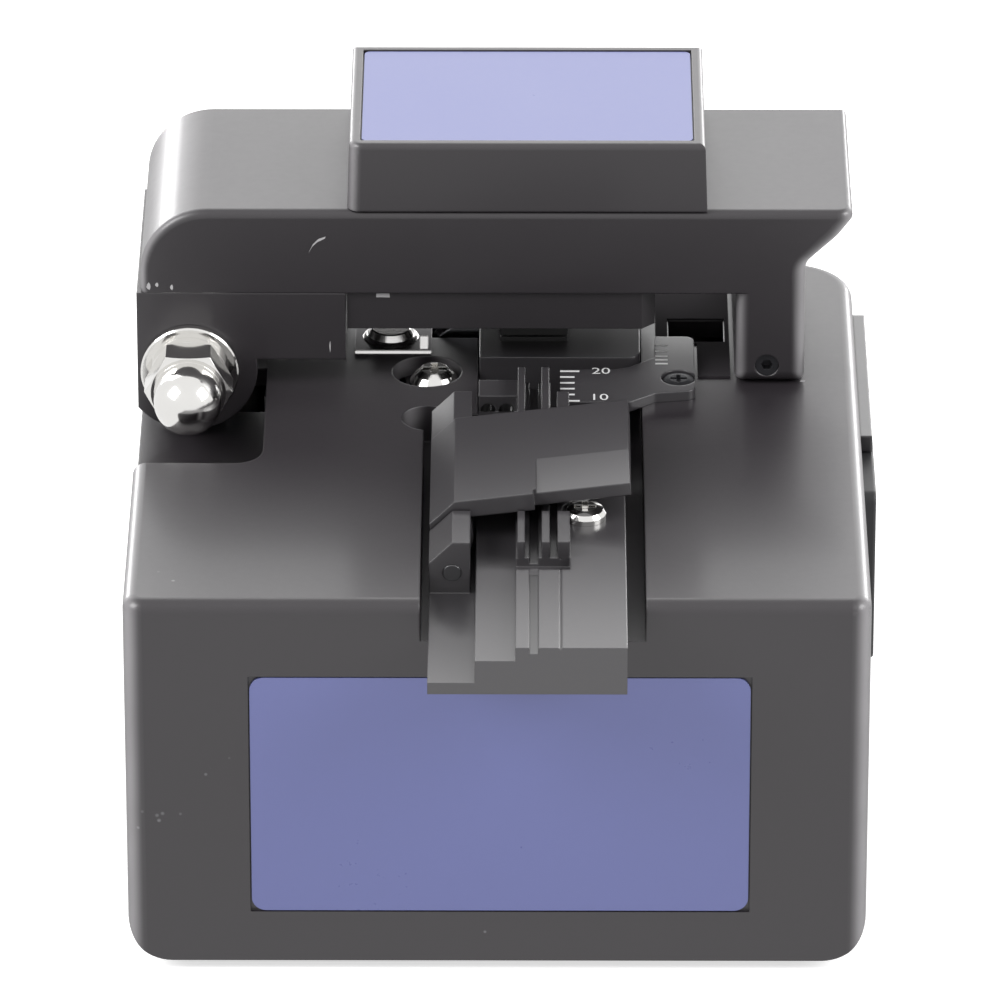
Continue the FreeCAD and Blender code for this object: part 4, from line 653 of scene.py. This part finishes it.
@dataclass
class Lever(SubAssembly):
    """The lever with its pad, catch, crank and clamp."""

    def build(self) -> None:
        """Dress the lever and what it carries."""
        finish = self.finishes
        self.dress(finish.body, "lever_shell", "pivot_block", "thumb_pad")
        self.dress(finish.label, "pad_plate")
        self.dress(finish.steel, "latch_magnet", "crank_arm", "drive_pin", "clamp_pins")
        self.dress(finish.oxide, "magnet_screw")
        self.dress(finish.clamp, "clamp_guide", "clamp_holder")
        self.dress(finish.pad, "upper_pads")
        self.dress(finish.ceramic, "breaking_anvil")


@dataclass
class Fixture(SubAssembly):
    """The fibre fixture with its lid, pin and screw, and the anvil behind it."""

    def build(self) -> None:
        """Dress the fixture and the anvil."""
        finish = self.finishes
        self.dress(finish.fixture, "fixture_base", "fixture_lid", "anvil_block")
        self.dress(finish.plated, "fixture_screw")
        self.dress(finish.pin, "lid_hinge_pin")
        self.dress(finish.pad, "lid_pad", "lower_pads")
        self.dress(finish.steel, "lid_magnet")


@dataclass
class BladeDrive(SubAssembly):
    """The carriage that carries the blade under the fibre."""

    def build(self) -> None:
        """Dress the blade and its carriage."""
        self.dress(self.finishes.machined, "blade_carriage")
        self.dress(self.finishes.carbide, "blade_wheel")
        self.dress(self.finishes.oxide, "blade_screw")


@dataclass
class Drawer(SubAssembly):
    """The scrap drawer and its face."""

    def build(self) -> None:
        """Dress the drawer."""
        self.dress(self.finishes.drawer, "scrap_drawer", "drawer_front")


@dataclass
class Scale(SubAssembly):
    """The scale plate with its printed division marks and its two numbers."""

    mark_left: float = 0.00564
    mark_long: float = 0.00178
    mark_short: float = 0.00133
    mark_thick: float = 0.00032
    mark_rise: float = 0.00001
    mark_rows: tuple[float, ...] = (0.0031, 0.0044, 0.0056, 0.0068, 0.0080, 0.0092)
    long_marks: tuple[int, ...] = (0, 5)
    tab_left: float = 0.0144
    tab_long: float = 0.00115
    tab_rows: tuple[float, ...] = (0.0108, 0.0116, 0.01235, 0.0134, 0.0146)
    figure_height: float = 0.00125
    figure_share: float = 0.7
    figure_steps: int = 3
    figures: tuple[tuple[str, float, float], ...] = (("20", 0.0085, 0.0087),
                                                     ("10", 0.0083, 0.0033))

    def build(self) -> None:
        """Dress the plate and print its marks."""
        finish = self.finishes
        self.dress(finish.fixture, "scale_plate")
        self.dress(finish.oxide, "scale_screw")
        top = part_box("scale_plate")[1].z + self.mark_rise
        mesh = bmesh.new()
        for index, row in enumerate(self.mark_rows):
            length = self.mark_long if index in self.long_marks else self.mark_short
            self._bar(mesh, self.mark_left, row, length, top)
        for row in self.tab_rows:
            self._bar(mesh, self.tab_left, row, self.tab_long, top)
        marks = make_piece("scale_marks", mesh, finish.marks.build())
        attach(marks, "base")
        log.info("printed %d scale marks", len(self.mark_rows) + len(self.tab_rows))
        for text, left, row in self.figures:
            self._figure(text, left, row, top)

    def _figure(self, text: str, left: float, row: float, top: float) -> None:
        """Print one small number.

        Args:
            text: the number.
            left: its left end.
            row: its foot along the fibre.
            top: its height.
        """
        curve = bpy.data.curves.new("scale_figure_" + text, "FONT")
        curve.body = text
        curve.size = self.figure_height / self.figure_share
        curve.resolution_u = self.figure_steps
        curve.materials.append(self.finishes.marks.build())
        figure = bpy.data.objects.new("scale_figure_" + text, curve)
        figure.location = (left, row, top)
        bpy.context.scene.collection.objects.link(figure)
        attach(figure, "base")
        log.info("printed figure %s", text)

    def _bar(self, mesh: bmesh.types.BMesh, left: float, row: float, length: float,
             top: float) -> None:
        """Add one printed bar.

        Args:
            mesh: the mesh that gets it.
            left: its left end.
            row: its middle along the fibre.
            length: its length.
            top: its height.
        """
        half = self.mark_thick / 2
        corners = [(left, row - half), (left + length, row - half),
                   (left + length, row + half), (left, row + half)]
        mesh.faces.new([mesh.verts.new((x, y, top)) for x, y in corners])


@dataclass
class WearPlate:
    """The thin plate under the lever with its turned stud and its upright tab."""

    finishes: Finishes
    thickness: float = 0.00036
    lean: float = 0.38
    stud_middle: tuple[float, float] = (-0.0100, 0.0178)
    stud_foot: float = 0.0026
    stud_waist: float = 0.00213
    stud_top: float = 0.00185
    stud_flange: float = 0.00022
    stud_rise: float = 0.0010
    stud_chamfer: float = 0.0001
    tab_width: float = 0.0008
    tab_inset: float = 0.0003
    tab_depth: float = 0.0006
    tab_rise: float = 0.0012
    edge_break: float = 0.00005
    edge_steps: int = 2
    sharp_angle: float = 1.0
    level: float = 0.9
    sides: int = 72

    def build(self) -> None:
        """Make the plate, the stud and the tab as one piece that stands for the plain one."""
        low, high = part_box("wear_plate")
        mesh = bmesh.new()
        face = low.z + self.thickness
        self._block(mesh, low, (high.x, high.y, face))
        right = high.x - self.tab_inset
        front = low.y + self.tab_inset
        self._block(mesh, (right - self.tab_width, front, face),
                    (right, front + self.tab_depth, face + self.tab_rise))
        edges = [edge for edge in mesh.edges if edge.calc_face_angle(0.0) > self.sharp_angle]
        bmesh.ops.bevel(mesh, geom=edges, offset=self.edge_break, segments=self.edge_steps,
                        affect="EDGES")
        # The plate's upward face takes the dark steel, and its edges, sides and tab stay bright,
        # as does the stud.
        for part in mesh.faces:
            low_down = part.calc_center_median().z < face + self.edge_break
            part.material_index = 1 if low_down and part.normal.z > self.level else 0
        self._stud(mesh, face)
        piece = make_piece("wear_plate_turned", mesh, self.finishes.stainless.build(),
                           self.finishes.blued.build())
        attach(piece, "base")
        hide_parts("wear_plate")
        log.info("made the wear plate with %d faces", len(piece.data.polygons))

    def _block(self, mesh: bmesh.types.BMesh, low: Place | Vector, high: Place) -> None:
        """Add one closed block whose front face leans back.

        Args:
            mesh: the mesh that gets it.
            low: its lowest corner.
            high: its highest corner.
        """
        middle = Vector([(a + b) / 2 for a, b in zip(low, high)])
        span = [b - a for a, b in zip(low, high)]
        place = Matrix.Translation(middle) @ Matrix.Diagonal((*span, 1.0))
        made = bmesh.ops.create_cube(mesh, size=1.0, matrix=place)
        for corner in made["verts"]:
            if corner.co.z > middle.z and corner.co.y < middle.y:
                corner.co.y += self.lean * span[2]

    def _stud(self, mesh: bmesh.types.BMesh, face: float) -> None:
        """Turn the stud: a cone on a flange, with a broken top edge.

        Args:
            mesh: the mesh that gets it.
            face: the height of the plate's upper face.
        """
        top = face + self.stud_rise
        chamfer = self.stud_chamfer
        profile = ((self.stud_foot, face), (self.stud_foot - chamfer, face + chamfer),
                   (self.stud_waist + chamfer, face + self.stud_flange),
                   (self.stud_waist, face + self.stud_flange + chamfer),
                   (self.stud_top, top - chamfer), (self.stud_top - chamfer, top))
        middle_x, middle_y = self.stud_middle
        rings = []
        for radius, height in profile:
            ring = []
            for step in range(self.sides):
                angle = FULL_TURN * step / self.sides
                ring.append(mesh.verts.new((middle_x + radius * math.cos(angle),
                                            middle_y + radius * math.sin(angle), height)))
            rings.append(ring)
        bridge(mesh, rings)
        mesh.faces.new(rings[-1])


@dataclass
class ClampSprings:
    """The two coil springs over the clamp."""

    finishes: Finishes
    coil_radius: float = 0.0017
    wire_radius: float = 0.00022
    turns: float = 4.0
    turn_steps: int = 24
    wire_sides: int = 8
    travel: float = 0.001

    def build(self) -> None:
        """Wind both springs as one piece that stands for the plain ones."""
        low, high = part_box("clamp_springs")
        middle = (low.y + high.y) / 2
        span = high.z - low.z
        reach = self.coil_radius + self.wire_radius
        mesh = bmesh.new()
        for x in (low.x + reach, high.x - reach):
            self._wind(mesh, Vector((x, middle, low.z + self.wire_radius)),
                       span - 2 * self.wire_radius)
        bmesh.ops.recalc_face_normals(mesh, faces=mesh.faces)
        for face in mesh.faces:
            face.smooth = len(face.verts) == 4
        springs = make_piece("clamp_springs_wound", mesh, self.finishes.stainless.build())
        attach(springs, "lever")
        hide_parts("clamp_springs")
        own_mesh(springs)
        log.info("wound two clamp springs")

    def _wind(self, mesh: bmesh.types.BMesh, foot: Vector, rise: float) -> None:
        """Add one closed coil.

        Args:
            mesh: the mesh that gets it.
            foot: the coil's axis at its lowest turn.
            rise: the height from the wire's lowest middle to its highest one.
        """
        steps = int(self.turns * self.turn_steps)
        rings = []
        for step in range(steps + 1):
            angle = FULL_TURN * step / self.turn_steps
            outward = Vector((math.cos(angle), math.sin(angle), 0.0))
            centre = foot + outward * self.coil_radius
            centre.z += rise * step / steps
            ring = []
            for side in range(self.wire_sides):
                around = FULL_TURN * side / self.wire_sides
                offset = outward * math.cos(around)
                offset.z += math.sin(around)
                ring.append(mesh.verts.new(centre + offset * self.wire_radius))
            rings.append(ring)
        bridge(mesh, rings)
        mesh.faces.new(reversed(rings[0]))
        mesh.faces.new(rings[-1])


@dataclass
class ChuteShadeSheet:
    """A matt black sheet round the chute's mouth under the lever: painted shade, a dark sheet
    laid where the lever's shade falls on the body's top.

    The columns and rows divide a sheet into fields, and the gaps are the fields cut out.
    """

    finishes: Finishes
    columns: tuple[float, ...] = (0.0145, 0.0156, 0.0183, 0.0209, 0.0213)
    rows: tuple[float, ...] = (0.0100, 0.0168, 0.0171, 0.0220, 0.0286)
    gaps: tuple[tuple[int, int], ...] = ((0, 0), (1, 0), (1, 2), (2, 2))
    thickness: float = 0.00018

    def build(self) -> None:
        """Cut the painted shade from one sheet, with an opening at the chute and a step at the
        scale.
        """
        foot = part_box("scale_plate")[0].z
        mesh = bmesh.new()
        points = {}
        for i, x in enumerate(self.columns):
            for j, y in enumerate(self.rows):
                points[i, j] = mesh.verts.new((x, y, foot + self.thickness))
        for i in range(len(self.columns) - 1):
            for j in range(len(self.rows) - 1):
                if (i, j) not in self.gaps:
                    mesh.faces.new((points[i, j], points[i + 1, j], points[i + 1, j + 1],
                                    points[i, j + 1]))
        rim = [edge for edge in mesh.edges if len(edge.link_faces) == 1]
        made = bmesh.ops.extrude_edge_only(mesh, edges=rim)
        for part in made["geom"]:
            if isinstance(part, bmesh.types.BMVert):
                part.co.z = foot
        bmesh.ops.delete(mesh, geom=[v for v in mesh.verts if not v.link_faces],
                         context="VERTS")
        bmesh.ops.recalc_face_normals(mesh, faces=mesh.faces)
        shade_sheet = make_piece("chute_shade_sheet", mesh, self.finishes.shade_sheet.build())
        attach(shade_sheet, "base")
        log.info("laid the chute felt")


@dataclass
class Chips:
    """Small chips in the lever's paint, where handling has bared the pale primer.

    A point of the scratch is its place and width, and a dab or the nick is its middle and its
    half width and half height, all across and up.
    """

    finishes: Finishes
    stand: float = 0.00002
    scratch: tuple[tuple[float, float, float], ...] = (
        (-0.01575, 0.05195, 0.00020), (-0.01640, 0.05165, 0.00034),
        (-0.01690, 0.05115, 0.00030), (-0.01725, 0.05050, 0.00016))
    dabs: tuple[tuple[float, float, float, float], ...] = (
        (-0.03195, 0.04700, 0.00022, 0.00040), (-0.03120, 0.04715, 0.00018, 0.00024),
        (-0.02985, 0.04690, 0.00016, 0.00030), (0.02790, 0.03745, 0.00030, 0.00012),
        (-0.01543, 0.04090, 0.00008, 0.00062))
    dab_corners: int = 7
    dab_dent: float = 0.8
    dab_turn: float = 3000.0
    nick: tuple[float, float, float, float] = (-0.01056, 0.04597, 0.00062, 0.00021)
    nick_corners: tuple[tuple[float, float], ...] = ((-1, -0.9), (1, -1), (0.95, 1), (-1, 0.85))

    def build(self) -> None:
        """Lay the scratch and the dabs on the lever's front, and the nick on the guide's."""
        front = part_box("lever_shell")[0].y - self.stand
        mesh = bmesh.new()
        self._scratch(mesh, front)
        for dab in self.dabs:
            self._dab(mesh, front, *dab)
        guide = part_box("clamp_guide")[0].y - self.stand
        x, z, wide, high = self.nick
        mesh.faces.new([mesh.verts.new((x + wide * i, guide, z + high * j))
                        for i, j in self.nick_corners])
        bmesh.ops.recalc_face_normals(mesh, faces=mesh.faces)
        chips = make_piece("lever_paint_chips", mesh, self.finishes.primer.build())
        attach(chips, "lever")
        log.info("laid a scratch, a nick and %d dabs", len(self.dabs))

    def _scratch(self, mesh: bmesh.types.BMesh, front: float) -> None:
        """Add the curved scratch.

        Args:
            mesh: the mesh that gets it.
            front: the depth at which it lies.
        """
        upper = [mesh.verts.new((x, front, z + w / 2)) for x, z, w in self.scratch]
        lower = [mesh.verts.new((x - w / 3, front, z - w / 2)) for x, z, w in self.scratch]
        for step in range(len(upper) - 1):
            mesh.faces.new((upper[step], upper[step + 1], lower[step + 1], lower[step]))

    def _dab(self, mesh: bmesh.types.BMesh, front: float, x: float, z: float, wide: float,
             high: float) -> None:
        """Add one ragged dab.

        Args:
            mesh: the mesh that gets it.
            front: the depth at which it lies.
            x: its middle across.
            z: its middle height.
            wide: its half width, which also turns it so that no two look alike.
            high: its half height.
        """
        corners = []
        for step in range(self.dab_corners):
            angle = FULL_TURN * step / self.dab_corners + wide * self.dab_turn
            reach = 1.0 if step % 2 else self.dab_dent
            corners.append(mesh.verts.new((x + wide * reach * math.cos(angle), front,
                                           z + high * reach * math.sin(angle))))
        mesh.faces.new(corners)


# ------------------------------------------------------------------ studio
@dataclass(frozen=True)
class Lamp:
    """One soft rectangular lamp: its place, its width and height, and its power in watts."""

    name: str
    place: Place
    size: tuple[float, float]
    power: float


@dataclass
class Studio:
    """The white floor, the soft lamps and the camera."""

    camera_place: Place = (0.002682, -0.804292, 0.439285)
    camera_target: Place = (0.000157, 0.0, 0.029422)
    lens: float = 355.75
    sensor: float = 36.0
    nearest_seen: float = 0.05
    floor_size: float = 6.0
    floor_tone: float = 0.86
    floor_roughness: float = 0.9
    fill: float = 0.45
    lamps: tuple[Lamp, ...] = (
        Lamp("rear_softbox", (0.0, 0.9, 0.53), (1.7, 0.95), 6.95),
        Lamp("left_softbox", (-0.8, -0.35, 0.75), (0.6, 0.6), 8.0),
        Lamp("right_softbox", (0.9, -0.3, 0.7), (0.6, 0.6), 7.5),
        Lamp("left_edge_lamp", (-0.50, 0.88, 0.14), (0.26, 0.24), 1.2),
        Lamp("right_edge_lamp", (0.50, 0.88, 0.14), (0.26, 0.24), 1.2))

    def build(self) -> None:
        """Set the stage, the lamps and the camera."""
        self._floor()
        self._world()
        for lamp in self.lamps:
            self._lamp(lamp)
        self._camera()
        bpy.context.scene.view_settings.view_transform = "Standard"

    def _floor(self) -> None:
        """Lay a white floor that keeps the object's shadow."""
        half = self.floor_size / 2
        mesh = bmesh.new()
        mesh.faces.new([mesh.verts.new((x, y, 0.0)) for x, y in
                        ((-half, -half), (half, -half), (half, half), (-half, half))])
        floor = make_piece("floor", mesh, self._floor_material())

    def _floor_material(self) -> bpy.types.Material:
        """Make the floor's material.

        Its glow for the camera lifts an open floor to white, and less light than that shows as
        a shadow.  Gloss and glass see it as plain white.

        Returns:
            The material.
        """
        material = bpy.data.materials.new("white_floor")
        material.use_nodes = True
        tree = material.node_tree
        shader = tree.nodes["Principled BSDF"]
        shader.inputs["Base Color"].default_value = (*(self.floor_tone,) * 3, 1.0)
        shader.inputs["Roughness"].default_value = self.floor_roughness
        shader.inputs["Emission Color"].default_value = (1.0, 1.0, 1.0, 1.0)
        lift = calculate(tree, "MULTIPLY", self._rays(tree, "Is Camera Ray"),
                         1.0 - self.floor_tone * self.fill)
        link(tree, lift, shader.inputs["Emission Strength"])
        glow = add_node(tree, "ShaderNodeEmission")
        glow.inputs["Strength"].default_value = 1.0
        mix = add_node(tree, "ShaderNodeMixShader")
        link(tree, self._rays(tree, "Is Glossy Ray", "Is Transmission Ray"), mix.inputs[0])
        link(tree, shader.outputs[0], mix.inputs[1])
        link(tree, glow.outputs[0], mix.inputs[2])
        link(tree, mix.outputs[0], tree.nodes["Material Output"].inputs["Surface"])
        return material

    def _world(self) -> None:
        """Light the scene evenly, and show white behind it."""
        world = bpy.data.worlds.new("studio")
        bpy.context.scene.world = world
        world.use_nodes = True
        tree = world.node_tree
        back = tree.nodes["Background"]
        back.inputs["Color"].default_value = (1.0, 1.0, 1.0, 1.0)
        shown = self._rays(tree, "Is Camera Ray", "Is Glossy Ray", "Is Transmission Ray")
        strength = ramp(tree, shown, 0.0, 1.0, start=self.fill)
        link(tree, strength, back.inputs["Strength"])

    def _rays(self, tree: bpy.types.NodeTree, *kinds: str) -> bpy.types.NodeSocket:
        """Tell some kinds of ray from the others.

        Args:
            tree: the node tree.
            kinds: the names of the kinds of ray.

        Returns:
            A socket that is 1 for a ray of these kinds and 0 for any other.
        """
        path = add_node(tree, "ShaderNodeLightPath")
        found = path.outputs[kinds[0]]
        for kind in kinds[1:]:
            found = calculate(tree, "MAXIMUM", found, path.outputs[kind])
        return found

    def _aimed(self, place: Place) -> Matrix:
        """Return the stand of a lamp or camera that looks at the cleaver from a place."""
        aim = Vector(self.camera_target) - Vector(place)
        return Matrix.Translation(place) @ aim.to_track_quat("-Z", "Y").to_matrix().to_4x4()

    def _lamp(self, lamp: Lamp) -> None:
        """Add one soft lamp that faces the cleaver.

        Args:
            lamp: what the lamp is like.
        """
        data = bpy.data.lights.new(lamp.name, "AREA")
        data.shape = "RECTANGLE"
        data.size, data.size_y = lamp.size
        data.energy = lamp.power
        light = bpy.data.objects.new(lamp.name, data)
        bpy.context.scene.collection.objects.link(light)
        light.matrix_world = self._aimed(lamp.place)

    def _camera(self) -> None:
        """Aim the camera."""
        data = bpy.data.cameras.new("camera")
        data.lens = self.lens
        data.sensor_width = self.sensor
        data.clip_start = self.nearest_seen
        camera = bpy.data.objects.new("camera", data)
        bpy.context.scene.collection.objects.link(camera)
        camera.matrix_world = self._aimed(self.camera_place)
        bpy.context.scene.camera = camera


def main() -> None:
    """Load the frame, build every sub-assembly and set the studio."""
    logging.basicConfig(level=logging.INFO, format="%(name)s: %(message)s")
    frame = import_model()
    nodes = frame["nodes"]
    finishes = Finishes()
    for part in (Housing(nodes, finishes), PivotHardware(nodes, finishes), Lever(nodes, finishes),
                 Fixture(nodes, finishes), BladeDrive(nodes, finishes), Drawer(nodes, finishes),
                 Scale(nodes, finishes), WearPlate(finishes), ClampSprings(finishes),
                 ChuteShadeSheet(finishes), Chips(finishes)):
        part.build()
        log.info("built %s", type(part).__name__)
    Studio().build()


if __name__ == "__main__":
    main()
